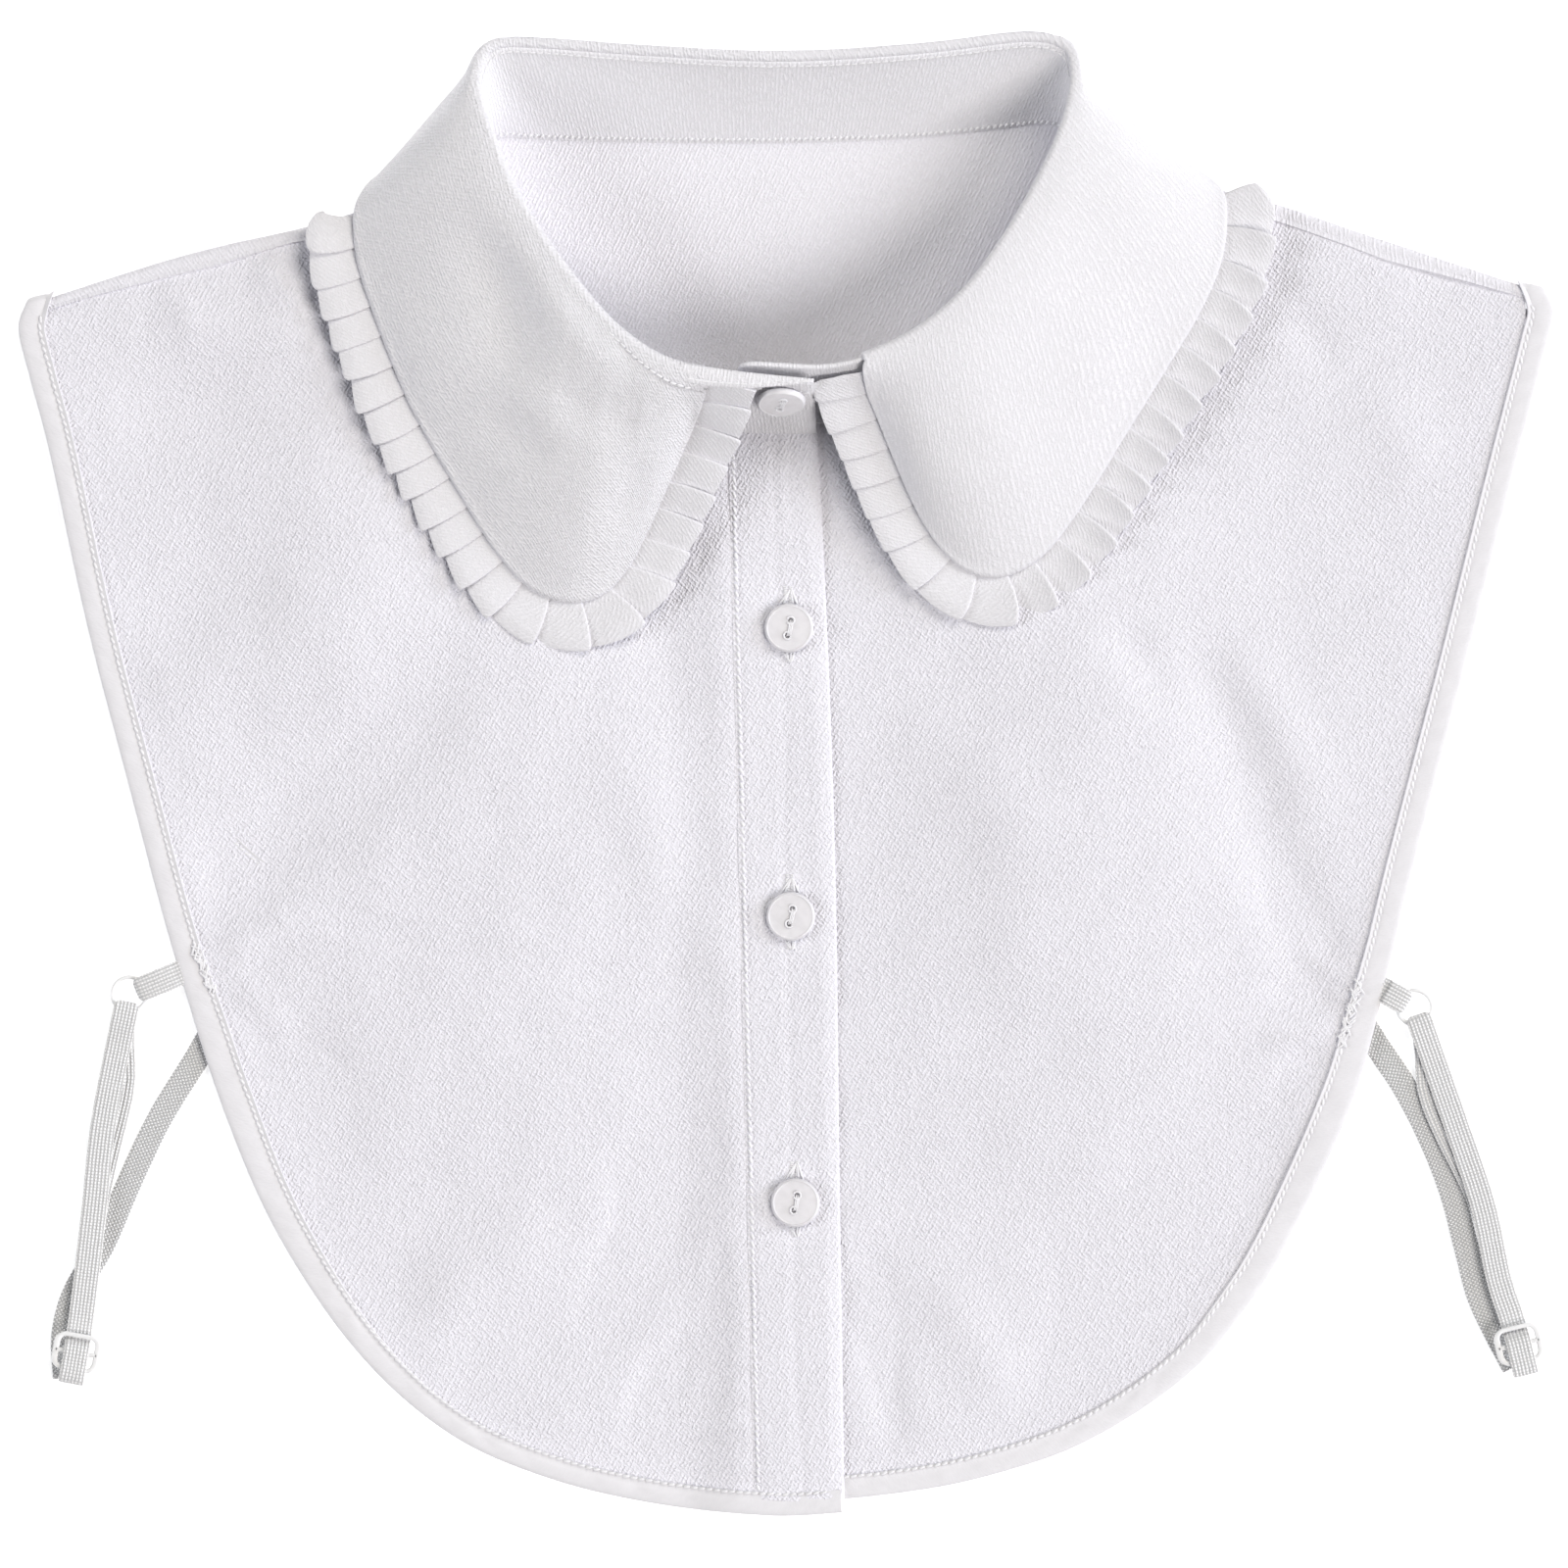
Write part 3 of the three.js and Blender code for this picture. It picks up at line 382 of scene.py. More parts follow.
def nearest(path, x, y):
    """How far points are from a path in plan, the path's height there, and the distance along it."""
    x, y = np.broadcast_arrays(np.asarray(x, float), np.asarray(y, float))
    a, b = path[:-1], path[1:]
    run = b - a
    px = x.reshape(-1, 1) - a[:, 0]
    py = y.reshape(-1, 1) - a[:, 1]
    t = np.clip((px * run[:, 0] + py * run[:, 1]) / (run[:, 0] ** 2 + run[:, 1] ** 2), 0, 1)
    off = np.hypot(px - t * run[:, 0], py - t * run[:, 1])
    best = off.argmin(axis=1)
    rows = np.arange(len(best))
    share = t[rows, best]
    height = a[best, 2] + run[best, 2] * share
    lengths = arc_lengths(path)
    along = lengths[best] + (lengths[best + 1] - lengths[best]) * share
    return off[rows, best].reshape(x.shape), height.reshape(x.shape), along.reshape(x.shape)


def drift(u, v, size, seed):
    """Soft unevenness between about -1 and 1, over lengths of about `size`."""
    total = 0
    for k in range(4):
        angle = 1.3 * seed + 2.4 * k
        wave = (1 + 0.37 * k) * 2 * math.pi / (size * 2.2)
        total = total + np.sin((u * math.cos(angle) + v * math.sin(angle)) * wave + seed * (k + 1.7))
    return total / 2.6


def edged(length, step, reach=0.7):
    """Places from 0 to length, about `step` apart, and closer near both ends, where the edge rounds off."""
    near = reach * np.array([0, 0.12, 0.35, 0.65, 1.0])
    inner = np.linspace(reach, length - reach, max(2, round((length - 2 * reach) / step)) + 1)
    return np.concatenate([near[:-1], inner, length - near[-2::-1]])


def rounding(distance, reach=0.7):
    """Share of its thickness that cloth has at a distance from a rounded edge."""
    t = np.clip(np.asarray(distance, float) / reach, 0, 1)
    return np.maximum(np.sqrt(np.clip(1 - (1 - t) ** 2, 0, 1)), 0.15)


NECK_SEAM = {axis: stand[f"seam_{axis}"] for axis in "xyz"}
left_seam = path_through(NECK_SEAM, 5, 0, LEFT_NECK_POINT)
back_seam = path_through(NECK_SEAM, 5, LEFT_NECK_POINT, RIGHT_NECK_POINT)
right_seam = path_through(NECK_SEAM, 5, RIGHT_NECK_POINT, STAND_END - 1)


# ------------------------------------------------------------------ how high each layer lies
def lean(y):
    return PLACKET_LEAN * y


def back_height(x, y):
    """The back rises towards the neck, over the fall that is tucked beneath it."""
    return BACK_NECK_RISE * (1 - smooth_step(14, 46, nearest(back_seam, x, y)[0]))


def lift_over_back(x, y):
    """The fronts lie a layer higher over the back, and slope down to the table below its hem."""
    hem_y = -54 - 16 * smooth_step(105, 130, np.abs(x))
    return LAYER * smooth_step(-46, 0, y - hem_y)


def puff(x, y):
    across = np.maximum(1 - ((np.abs(x) - PUFF["x"]) / PUFF["reach_x"]) ** 2, 0)
    down = np.maximum(1 - ((y - PUFF["y"]) / PUFF["reach_y"]) ** 2, 0)
    return PUFF["rise"] * (across * down) ** 1.5


def beside_placket(x, y):
    """The left front climbs over the right one's underlap."""
    return LAYER * smooth_step(PLACKET_LEFT - 16, PLACKET_LEFT - 2, x - lean(y))


def front_height(x, y):
    """Undersides of the fronts, which rise to the neck seam over the last 32 mm."""
    x, y = np.broadcast_arrays(np.asarray(x, float), np.asarray(y, float))
    left_off, left_z, _ = nearest(left_seam, x, y)
    right_off, right_z, _ = nearest(right_seam, x, y)
    off = np.where(x < 0, left_off, right_off)
    at_neck = np.where(x < 0, left_z - beside_placket(x, y), right_z) - CLOTH / 2
    resting = back_height(x, y) + lift_over_back(x, y) + puff(x, y)
    return mix(at_neck, resting, smooth_step(0, 32, off))


def left_front_height(x, y):
    return front_height(x, y) + beside_placket(x, y)


def placket_height(x, y):
    return front_height(x, y) + LAYER


def creased(x, y, creases):
    """The lift that a table of creases gives at each point."""
    total = np.zeros(np.shape(x))
    for x1, y1, x2, y2, width, lift, bow in zip(*creases.values()):
        run = np.array([x2 - x1, y2 - y1])
        length = np.hypot(*run)
        along = ((x - x1) * run[0] + (y - y1) * run[1]) / length ** 2
        t = np.clip(along, 0, 1)
        side = ((y - y1) * run[0] - (x - x1) * run[1]) / length - bow * 4 * t * (1 - t)
        past = (along - t) * length
        grow = np.clip(np.minimum(t / 0.35, (1 - t) / 0.35), 0, 1) ** 0.7
        total += lift * np.exp(-(side ** 2 + past ** 2) / width ** 2) * mix(0.15, 1, grow)
    return total


# ------------------------------------------------------------------ meshes
class Solid:
    """Points, faces and cloth coordinates (along and across the weave, in mm) that grow part by part."""

    def __init__(self):
        self.points, self.faces, self.weave, self.count = [], [], [], 0

    def add(self, points, faces, weave):
        points = np.asarray(points, float).reshape(-1, 3)
        self.points.append(points)
        self.weave.append(np.broadcast_to(weave, (len(points), 2)))
        self.faces.extend(face + self.count for face in faces)
        self.count += len(points)
        return self


def quads(rows, columns, around=False, over=False):
    """Faces of a grid of points; `around` joins its last column to the first, and `over` its rows."""
    i, j = np.meshgrid(np.arange(rows - (not over)), np.arange(columns - (not around)), indexing="ij")
    h, k = (i + 1) % rows * columns, (j + 1) % columns
    i = i * columns
    return np.stack([i + j, h + j, h + k, i + k], -1).reshape(-1, 4)


def grid_normals(grid):
    def slope(axis):
        ends = np.concatenate([grid.take([0], axis), grid, grid.take([-1], axis)], axis)
        count = grid.shape[axis]
        return ends.take(range(2, count + 2), axis) - ends.take(range(count), axis)

    return unit(np.cross(slope(0), slope(1)))


def shell(solid, grid, above, below, weave, upward=True):
    """Adds a thin closed shell round a grid of points, `above` and `below` it along its normals."""
    normal = grid_normals(grid)
    if upward and normal[..., 2].mean() < 0:
        grid, weave, normal = grid[::-1], weave[::-1], -normal[::-1]
        above, below = (v[::-1] if np.ndim(v) == 2 and len(v) > 1 else v for v in (above, below))
    n, m = grid.shape[:2]
    above, below = (np.broadcast_to(v, (n, m))[..., None] for v in (above, below))
    points = np.concatenate([grid + normal * above, grid - normal * below])
    top = quads(n, m)
    rim = np.concatenate([
        np.arange(m),
        np.arange(1, n) * m + m - 1,
        (n - 1) * m + np.arange(m - 2, -1, -1),
        np.arange(n - 2, 0, -1) * m,
    ])
    after = np.roll(rim, -1)
    sides = np.stack([rim, after, after + n * m, rim + n * m], -1)
    faces = np.concatenate([top, top[:, ::-1] + n * m, sides])
    flat = weave.reshape(-1, 2)
    return solid.add(points, faces, np.tile(flat, (2, 1)))


def swept(solid, origins, across, up, profile, weave_along, closed=False):
    """Adds a solid whose closed profile of (across, up) points runs through a row of places."""
    profile = np.asarray(profile, float)
    profile = np.broadcast_to(profile, (len(origins), *profile.shape[-2:]))
    rings = origins[:, None] + across[:, None] * profile[..., :1] + up[:, None] * profile[..., 1:]
    n, m = profile.shape[:2]
    ahead = np.cross(across[0], up[0]) @ (origins[1] - origins[0])
    x, y = profile[0, :, 0], profile[0, :, 1]
    facing = ahead * np.sum(x * np.roll(y, -1) - y * np.roll(x, -1)) > 0
    faces = list(quads(n, m, around=True, over=closed))
    if not closed:
        faces += [np.arange(m), (n - 1) * m + np.arange(m)[::-1]]
    if facing:
        faces = [face[::-1] for face in faces]
    weave = stacked(weave_along[:, None], profile[..., 0])
    return solid.add(rings, faces, weave.reshape(-1, 2))


def add_object(name, data):
    made = bpy.data.objects.new(name, data)
    bpy.context.scene.collection.objects.link(made)
    return made


def add_piece(name, solid, look, slot, *replaced):
    """Makes the mesh, in metres, rides it on the collar's one body and hides the parts it replaces."""
    mesh = bpy.data.meshes.new(name)
    points = np.concatenate(solid.points) * MM
    mesh.from_pydata(points, [], [face.tolist() for face in solid.faces])
    weave = mesh.attributes.new("weave", "FLOAT_VECTOR", "POINT")
    flat = np.pad(np.concatenate(solid.weave), ((0, 0), (0, 1)))
    weave.data.foreach_set("vector", flat.astype(np.float32).ravel())
    mesh.materials.append(look)
    mesh.shade_smooth()
    mesh.set_sharp_from_angle(angle=math.radians(50))
    piece = add_object(name, mesh)
    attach(piece, "root")
    if replaced:
        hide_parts(*replaced)
    return piece


def thread(solid, places, directions, ups, length, width, height):
    """Adds one stitch at each place: a little bar of thread with rounded ends, pressed into the cloth."""
    directions, ups = unit(np.asarray(directions, float)), unit(np.asarray(ups, float))
    sides = np.cross(ups, directions)
    ring = np.arange(6) * math.pi / 3
    stations = np.array([-0.5, -0.36, 0.36, 0.5])
    girth = np.array([0.45, 1, 1, 0.45])
    length, width, height = (np.broadcast_to(v, len(places)) for v in (length, width, height))
    along = stations[None, :, None, None] * length[:, None, None, None] * directions[:, None, None]
    around = (
        np.cos(ring)[None, None, :, None] * (width / 2)[:, None, None, None] * sides[:, None, None]
        + np.sin(ring)[None, None, :, None] * (height / 2)[:, None, None, None] * ups[:, None, None]
    )
    points = np.asarray(places)[:, None, None] + along + around * girth[None, :, None, None]
    one = [*quads(4, 6, around=True)[:, ::-1], np.arange(6), 18 + np.arange(6)[::-1]]
    faces = [face + 24 * k for k in range(len(places)) for face in one]
    return solid.add(points, faces, (0, 0))


def turns(count):
    """Angles evenly round a circle."""
    return np.arange(count) * 2 * math.pi / count


def circle(angles):
    return np.stack([np.cos(angles), np.sin(angles)], -1)


def carried(values, path, at):
    """Values given at the points of a path, at distances along it."""
    return np.stack([np.interp(at, arc_lengths(path), column) for column in np.transpose(values)], axis=-1)


def seam(path, ups, seed, pitch=STITCH["pitch"], skew=0.12, **sizes):
    """A row of stitches along a path of points, a little uneven, on a surface with normals `ups`."""
    length = length_of(path)
    count = max(1, round(length / pitch))
    at = (np.arange(count) + 0.5) * length / count
    normals = unit(carried(ups, path, at))
    ahead = unit(sampled(path, at + 0.4) - sampled(path, at - 0.4))
    side = np.cross(normals, ahead)
    wander = drift(at, 0 * at, 3.1, seed)[:, None]
    size = {**STITCH, **sizes}
    long = size["length"] * pitch / STITCH["pitch"]
    heading = ahead + side * (skew + 0.1 * wander)
    places = sampled(path, at) + side * 0.05 * wander
    return thread(Solid(), places, heading, normals, long, size["width"], size["height"])


# ------------------------------------------------------------------ back and fronts
left_edge = path_through(left_outline, 1.5)
right_edge = path_through(right_outline, 1.5)
back_edge = path_through(
    {
        "x": np.concatenate([-back_outline["x"], back_outline["x"][-2::-1]]),
        "y": np.concatenate([back_outline["y"], back_outline["y"][-2::-1]]),
    },
    1.8,
)
left_fold = path_through(left_shoulder, 1.5)
right_fold = path_through(right_shoulder, 1.5)
TUCK = 2.0  # how far cloth runs on inside a binding
FRONT_STEP = 1.35  # between the points of the fronts' cloth
BACK_STEP = 1.9
WIDEST = 103.0  # y of the armholes' widest points
# How far in front of its fold each shoulder's seam has settled.
shoulder_seam = table("x forward", [
    (-172, 2.2), (-164, 2.4), (-152, 3.5), (-135, 4.4), (-117, 2.5), (-109, 3.5), (-95, 3.2),
    (95, 3.2), (114, 3.9), (133, 3.9), (142, 4.5), (152, 3.7), (162, 2.8), (172, 2.0),
])


BINDING = table("y width", [
    (-175, 5.4), (-150, 5.8), (-115, 7.2), (-80, 7.8), (-62, 7.5), (-40, 6.6), (20, 6.3), (110, 6.3),
])


def binding_width(path):
    return np.interp(path[:, 1], BINDING["y"], BINDING["width"])


def seam_forward(x):
    return np.interp(x, shoulder_seam["x"], shoulder_seam["forward"])


def stretched(path, start=0.0, end=0.0):
    """A path with straight stretches added before its start and after its end."""
    before = path[:1] + unit(path[:1] - path[2:3]) * start
    after = path[-1:] + unit(path[-1:] - path[-3:-2]) * end
    return np.concatenate([before] * int(start > 0) + [path] + [after] * int(end > 0))


def leaning_grid(lower, upper, first, last, step, slope=lean):
    """x and y of a panel between a lower and an upper edge, in columns that lean with the placket."""
    edges = []
    for path in (lower, upper):
        flat = np.stack([path[:, 0] - slope(path[:, 1]), path[:, 1]], -1)
        edges.append(flat[np.argsort(flat[:, 0])])
    first = max(first, *(edge[0, 0] for edge in edges))
    last = min(last, *(edge[-1, 0] for edge in edges))
    columns = np.linspace(first, last, round((last - first) / step) + 1)
    low, high = (np.interp(columns, edge[:, 0], edge[:, 1]) for edge in edges)
    rows = round((high - low).max() / step)
    y = mix(low[:, None], high[:, None], np.linspace(0, 1, rows + 1))
    return columns[:, None] + slope(y), y


def front_lift(x, y, creases, edge, seed):
    """Creases and soft unevenness of a front, which its binding holds down."""
    free = smooth_step(3, 16, nearest(edge[::6], x, y)[0])
    waves = 0.42 * drift(x, y, 34, seed) + 0.14 * drift(x, y, 15, seed + 1)
    return free * (1.6 * creased(x, y, creases) + waves)


def back_hem_mark(x, y):
    """The hidden back's hem shows through the fronts as a faint line."""
    off = nearest(back_edge[::6], x, y)[0]
    inside = np.abs(x) < 118
    return -0.3 * hump(off, 1.5, 2.2) * inside * smooth_step(-20, -32, y)


def front_top(x, y, height, creases, edge, seed):
    """The height of a front's upper face, which dips no deeper than what it lies on allows."""
    lift = front_lift(x, y, creases, edge, seed) + back_hem_mark(x, y)
    base = height(x, y) + CLOTH
    room_over_back = 0.9 * smooth_step(-70, -60, y)
    return np.maximum(base + lift, base - CLOTH + SHEET + LEAST_GAP - room_over_back)


def front_grid(side, fold, shoulder_end, neck_rows, outline, first, last):
    """x and y of a front's cloth, and its shoulder seam. The side is -1 on the left and 1 on the right."""
    shoulder = stretched(fold, start=6)
    shoulder = shoulder[side * shoulder[:, 0] > shoulder_end]
    shoulder = moved(shoulder, side * (seam_forward(shoulder[:, 0]) + SEAM_GAP / 2))
    neck = moved(path_through(NECK_SEAM, 2, *neck_rows), NECK_SETBACK - 0.7)
    upper = np.concatenate([shoulder, neck[::side]])
    lower = moved(outline, side * (TUCK - binding_width(outline)))
    lower = stretched(lower[lower[:, 1] < WIDEST], start=4)
    x, y = leaning_grid(lower, upper, first, last, FRONT_STEP)
    return x, y, upper[side * upper[:, 0] > shoulder_end]


def seam_groove(x, y, line, depth):
    """How far cloth is drawn down beside a seam."""
    return depth * hump(nearest(line, x, y)[0], 0, 1.3)


def make_left_front():
    neck = (0.1, LEFT_NECK_POINT - 0.5)
    x, y, shoulder = front_grid(-1, left_fold, 80, neck, left_edge, -176, PLACKET_LEFT + PLACKET_SEAM)
    z = front_top(x, y, left_front_height, left_creases, left_edge, 3)
    z -= seam_groove(x, y, shoulder, 0.5)
    off = x - lean(y) - PLACKET_LEFT
    flush = placket_height(x, y) + PLACKET_CLOTH - 0.1  # it meets the placket's top at the stitching
    z = mix(z, flush, smooth_step(-7, -0.5, off)) + placket_pull(x, y)
    z -= 0.45 * smooth_step(PLACKET_SEAM - 1.0, PLACKET_SEAM, off)
    return shell(Solid(), stacked(x, y, z), 0, SHEET, stacked(x, y))


def puckers(y, off, reach):
    """Small puckers that fade with the distance from the placket's stitching."""
    strong = 0.12 + 0.3 * smooth_step(-110, -150, y)
    return strong * drift(y, 0 * y, 5.5, 8) * np.exp(-off / reach)


def placket_pull(x, y):
    """How the placket's stitching draws the left front up."""
    return puckers(y, np.maximum(PLACKET_LEFT - (x - lean(y)), 0), 4.5)


def make_right_front():
    neck = (RIGHT_NECK_POINT + 0.5, STAND_END - 1)
    x, y, shoulder = front_grid(1, right_fold, 76.5, neck, right_edge, UNDERLAP_EDGE, 176)
    z = front_top(x, y, front_height, right_creases, right_edge, 5)
    z -= seam_groove(x, y, shoulder, 0.35)
    hidden = smooth_step(PLACKET_RIGHT + 1, PLACKET_RIGHT - 3, x - lean(y))
    z = mix(z, front_height(x, y) + CLOTH, hidden)  # flat under the placket
    return shell(Solid(), stacked(x, y, z), 0, SHEET, stacked(x, y))


def make_back():
    solid = Solid()
    buried = 2.4
    seam_line = moved(back_seam, 0.6)
    upper = np.concatenate([moved(left_fold, -buried), seam_line, moved(right_fold, buried)[::-1]])
    lower = moved(back_edge, binding_width(back_edge) - TUCK)
    x, y = leaning_grid(lower, upper, -171, 171, BACK_STEP, slope=np.zeros_like)
    off = nearest(back_seam, x, y)[0]
    ruffle = 0.22 * drift(x, y, 21, 2) * smooth_step(0, 14, off) * smooth_step(70, 95, y)
    # The piped seam at the band's foot: a ridge, and a groove beyond it.
    cord = 0.45 * hump(off, 0.9, 0.5) - 0.3 * hump(off, 2.1, 0.6)
    z = back_height(x, y) + CLOTH + ruffle + cord
    shell(solid, stacked(x, y, z), 0, CLOTH + ruffle, stacked(x, y))
    for fold, inward in ((left_fold, -1), (right_fold, 1)):
        turned_shoulder(solid, stretched(fold, start=3.0), inward)
    return solid


def turned_shoulder(solid, fold, inward):
    """Adds the stretch of the back that runs over the shoulder fold and forward to the seam."""
    side = left_of(fold) * inward
    low = back_height(fold[:, 0], fold[:, 1]) + CLOTH / 2
    high = front_height(fold[:, 0], fold[:, 1]) + CLOTH / 2
    angle = np.radians(np.linspace(-90, 90, 11))
    turn = SHOULDER_TURN["centre"] - SHOULDER_TURN["reach"] * np.cos(angle)
    ends = seam_forward(fold[:, 0])[:, None]
    forward = mix(1.9, ends, np.array([0.3, 0.6, 0.85, 1.0]))
    legs = np.broadcast_to([5.2, 3.7], (len(fold), 2))
    distance = np.hstack([legs, np.broadcast_to(turn, (len(fold), 11)), forward])
    swing = np.concatenate([[-1, -1], np.sin(angle), [1, 1, 1, 1]])
    middle, radius = (low + high)[:, None] / 2, (high - low)[:, None] / 2
    z = middle + radius * swing
    z[:, -2:] += np.array([0.42, -0.3])  # a ridge beside the seam
    grid = fold[:, None, :] + side[:, None, :] * distance[..., None]
    grid[..., 2] = z
    half = CLOTH / 2 * np.where(np.arange(grid.shape[1]) < 2, 0.7, 1.0)[None]
    weave = stacked(fold[:, :1] + 0 * distance, distance)
    shell(solid, grid, half, half, weave, upward=False)


PLACKET_WIDTH = PLACKET_RIGHT - PLACKET_LEFT
PLACKET_CLOTH = 1.4
PLACKET_SEAM = 1.3  # its stitching, from its left edge
PLACKET_BOW = path_through(table("x y", [  # y, and how far the right edge bows out there
    (-167, -0.5), (-96, 0.15), (-30, 0.9), (17, 0.65), (55, -0.1), (84, -0.95),
]), 3)


def placket_x(across, y):
    """Where a share of the placket's width lies: its right edge bows out a little in the middle."""
    bow = np.interp(y, PLACKET_BOW[:, 0], PLACKET_BOW[:, 1])
    return PLACKET_LEFT + lean(y) + (PLACKET_WIDTH + bow) * across


def edge_slope(off):
    """How far the placket's right edge slopes down and then rounds over."""
    return 1.0 * np.clip(1 - off / 3.6, 0, 1) ** 1.3 + 0.9 * (1 - rounding(off, 1.0))


def placket_top(x, y):
    start = placket_x(0, y)
    across = np.clip((x - start) / (placket_x(1, y) - start), 0, 1)
    left_off, right_off = across * PLACKET_WIDTH, (1 - across) * PLACKET_WIDTH
    z = placket_height(x, y) + PLACKET_CLOTH + placket_relief(x, y, left_off, right_off)
    return z - 0.5 * (1 - rounding(left_off, 0.5)) - edge_slope(right_off)


def make_placket():
    lower = moved(left_edge, binding_width(left_edge) - TUCK)
    upper = moved(path_through(NECK_SEAM, 1.5, 0, 2), -0.3)  # it ends inside the band
    off = edged(PLACKET_WIDTH, 0.9)
    edges = [path[np.argsort(path[:, 0])] for path in (lower, upper)]
    low, high = (np.interp(PLACKET_LEFT + off, edge[:, 0], edge[:, 1]) for edge in edges)
    y = mix(low[:, None], high[:, None], np.linspace(0, 1, 190))
    across = (off / PLACKET_WIDTH)[:, None]
    x = placket_x(across, y)
    rim = rounding(off, 0.5) * rounding(PLACKET_WIDTH - off, 0.7)
    thick = mix(0.75, 1.35, smooth_step(0.75, 1.0, across)) * rim[:, None]
    return shell(Solid(), stacked(x, y, placket_top(x, y)), 0, thick, stacked(x, y))


def placket_relief(x, y, left_off, right_off):
    """What the placket's top has on it: a sewn groove, a pressed crease, dents round the buttons."""
    relief = puckers(y, left_off, 3.5)
    relief -= 0.3 * hump(left_off, PLACKET_SEAM, 0.7)
    relief -= 0.22 * hump(left_off, 11.2 + 0.8 * drift(y, 0 * y, 60, 4), 1.1)
    relief += 0.16 * drift(x, y, 19, 6) * np.clip(right_off / 2, 0, 1)
    for bx, by in zip(*button_spots.values()):
        relief -= 0.45 * hump(np.hypot(x - bx - 3.5, y - by - 4.5), 0, 5.5)
    return relief


# ------------------------------------------------------------------ bindings
def binding_profile(w, ridge):
    """Binding of width w folded flat round an edge and sewn down, its inner fold standing up as a ridge."""
    return np.array([
        (w - 0.1, 1.03), (w + 0.02, 1.2 + 0.15 * ridge), (w - 0.22, 1.36 + 0.46 * ridge),
        (w - 0.66, 1.3 + 0.38 * ridge), (w - 1.3, 1.2), (w - 1.95, 1.34), (w - 2.6, 1.42),
        (w * 0.42, 1.42), (1.3, 1.38), (0.5, 1.22), (0.12, 0.98), (0, 0.75), (0.12, 0.5), (0.5, 0.16),
        (1.3, 0.02), (w * 0.42, 0), (w - 0.5, 0), (w, 0.16), (w - 0.1, 0.4), (w * 0.5, 0.42), (1.7, 0.5),
        (1.3, 0.75), (1.7, 1.0), (w * 0.5, 1.03),
    ])


SHOULDER_TIP = 111.0  # y of the shoulders' outer ends
TOP_POINTS = 10  # of that profile, the first ones are its upper face
STITCH_POINT = 4  # and this one lies in the groove of the stitching


def binding_frames(outline, widths, height, inward):
    """Where a binding's sections stand: their outer ends, and unit vectors inwards and up."""
    inner = moved(outline, widths * inward)
    origins, tips = outline.copy(), inner.copy()
    origins[:, 2] = height(outline[:, 0], outline[:, 1])
    tips[:, 2] = height(inner[:, 0], inner[:, 1])
    across = unit(tips - origins)
    along = np.gradient(origins, axis=0)
    if abs(outline[0, 1] - SHOULDER_TIP) < 5:  # its end lies along the shoulder
        shoulder = unit(np.array([-np.sign(outline[0, 0]) * 0.98, 0.2, 0]))
        across = unit(mix(shoulder, across, smooth_step(0, 8, arc_lengths(outline))[:, None]))
    up = unit(np.cross(across, along))
    up *= np.sign(up[:, 2:])
    return origins, across, up


def shoulder_end(origins, across, up):
    """Sections that carry a binding over the shoulder fold and down to the back's binding."""
    run = unit(origins[0] - origins[3])
    pivot = 0.5
    turned = []
    for angle in np.radians(np.linspace(90, 0, 9)[:-1]):
        place = origins[0] + pivot * (run * math.sin(angle) + up[0] * (math.cos(angle) - 1))
        turned.append((place, across[0], unit(up[0] * math.cos(angle) + run * math.sin(angle))))
    turned.insert(0, (turned[0][0] - np.array([0, 0, 1.1]), *turned[0][1:]))
    return [np.array(column) for column in zip(*turned)]


def make_binding(outline, height, inward, seed, over_shoulder=True):
    """A binding and the row of stitches that holds it."""
    widths = binding_width(outline)
    origins, across, up = binding_frames(outline, widths, height, inward)
    ridges = smooth_step(-155, -105, outline[:, 1])
    profile = np.array([binding_profile(w, ridge) for w, ridge in zip(widths, ridges)])
    along = arc_lengths(outline)
    a = profile[..., 0]
    hem = smooth_step(-100, -150, outline[:, 1])[:, None]
    slanted = along[:, None] + a * mix(0.6, 1.9, hem)
    ripple = 0.10 * drift(slanted, 0.15 * slanted, 4.3, seed) + 0.07 * drift(slanted, a, 11, seed + 2)
    waist = hump(a, widths[:, None] * 0.45, widths[:, None] * 0.3)
    top = np.arange(profile.shape[1]) < TOP_POINTS
    profile[..., 1] += ripple * waist * top
    if over_shoulder:
        turned = shoulder_end(origins, across, up)
        solid = swept(
            Solid(),
            *(np.concatenate(pair) for pair in zip(turned, (origins, across, up))),
            np.concatenate([profile[:1]] * len(turned[0]) + [profile]),
            np.concatenate([np.arange(-len(turned[0]), 0) * 0.4, along]),
        )
    else:
        solid = swept(Solid(), origins, across, up, profile, along)
    groove = profile[:, STITCH_POINT] + np.array([[0.9, 0.0]]) * (1 - ridges[:, None])
    path = origins + across * groove[:, :1] + up * (groove[:, 1:] + 0.27)
    return solid, seam(path[2:-2], up[2:-2], seed, skew=0.32, width=0.68, height=0.56)


# ------------------------------------------------------------------ collar
def stand_points(along, up):
    along, up = np.broadcast_arrays(np.asarray(along, float), np.asarray(up, float))
    row = row_at(stand, along)
    return mix(point_at(row, "seam"), point_at(row, "roll"), up[..., None])


def stand_outward(along):
    """The way out from the neck, in plan, at places along the stand's top."""
    before, after = row_at(stand, along - 0.1), row_at(stand, along + 0.1)
    return unit(stacked(before["roll_y"] - after["roll_y"], after["roll_x"] - before["roll_x"], 0))


STAND_HALF = 0.6  # half its thickness
STAND_TOP = 0.975  # it stops here, inside the fold of the fall
LIP = {"along": [0, 0.12, 0.38, 0.77, 1.2], "width": [0.35, 0.6, 1.6, 3.2, 3.8], "rise": 0.1}


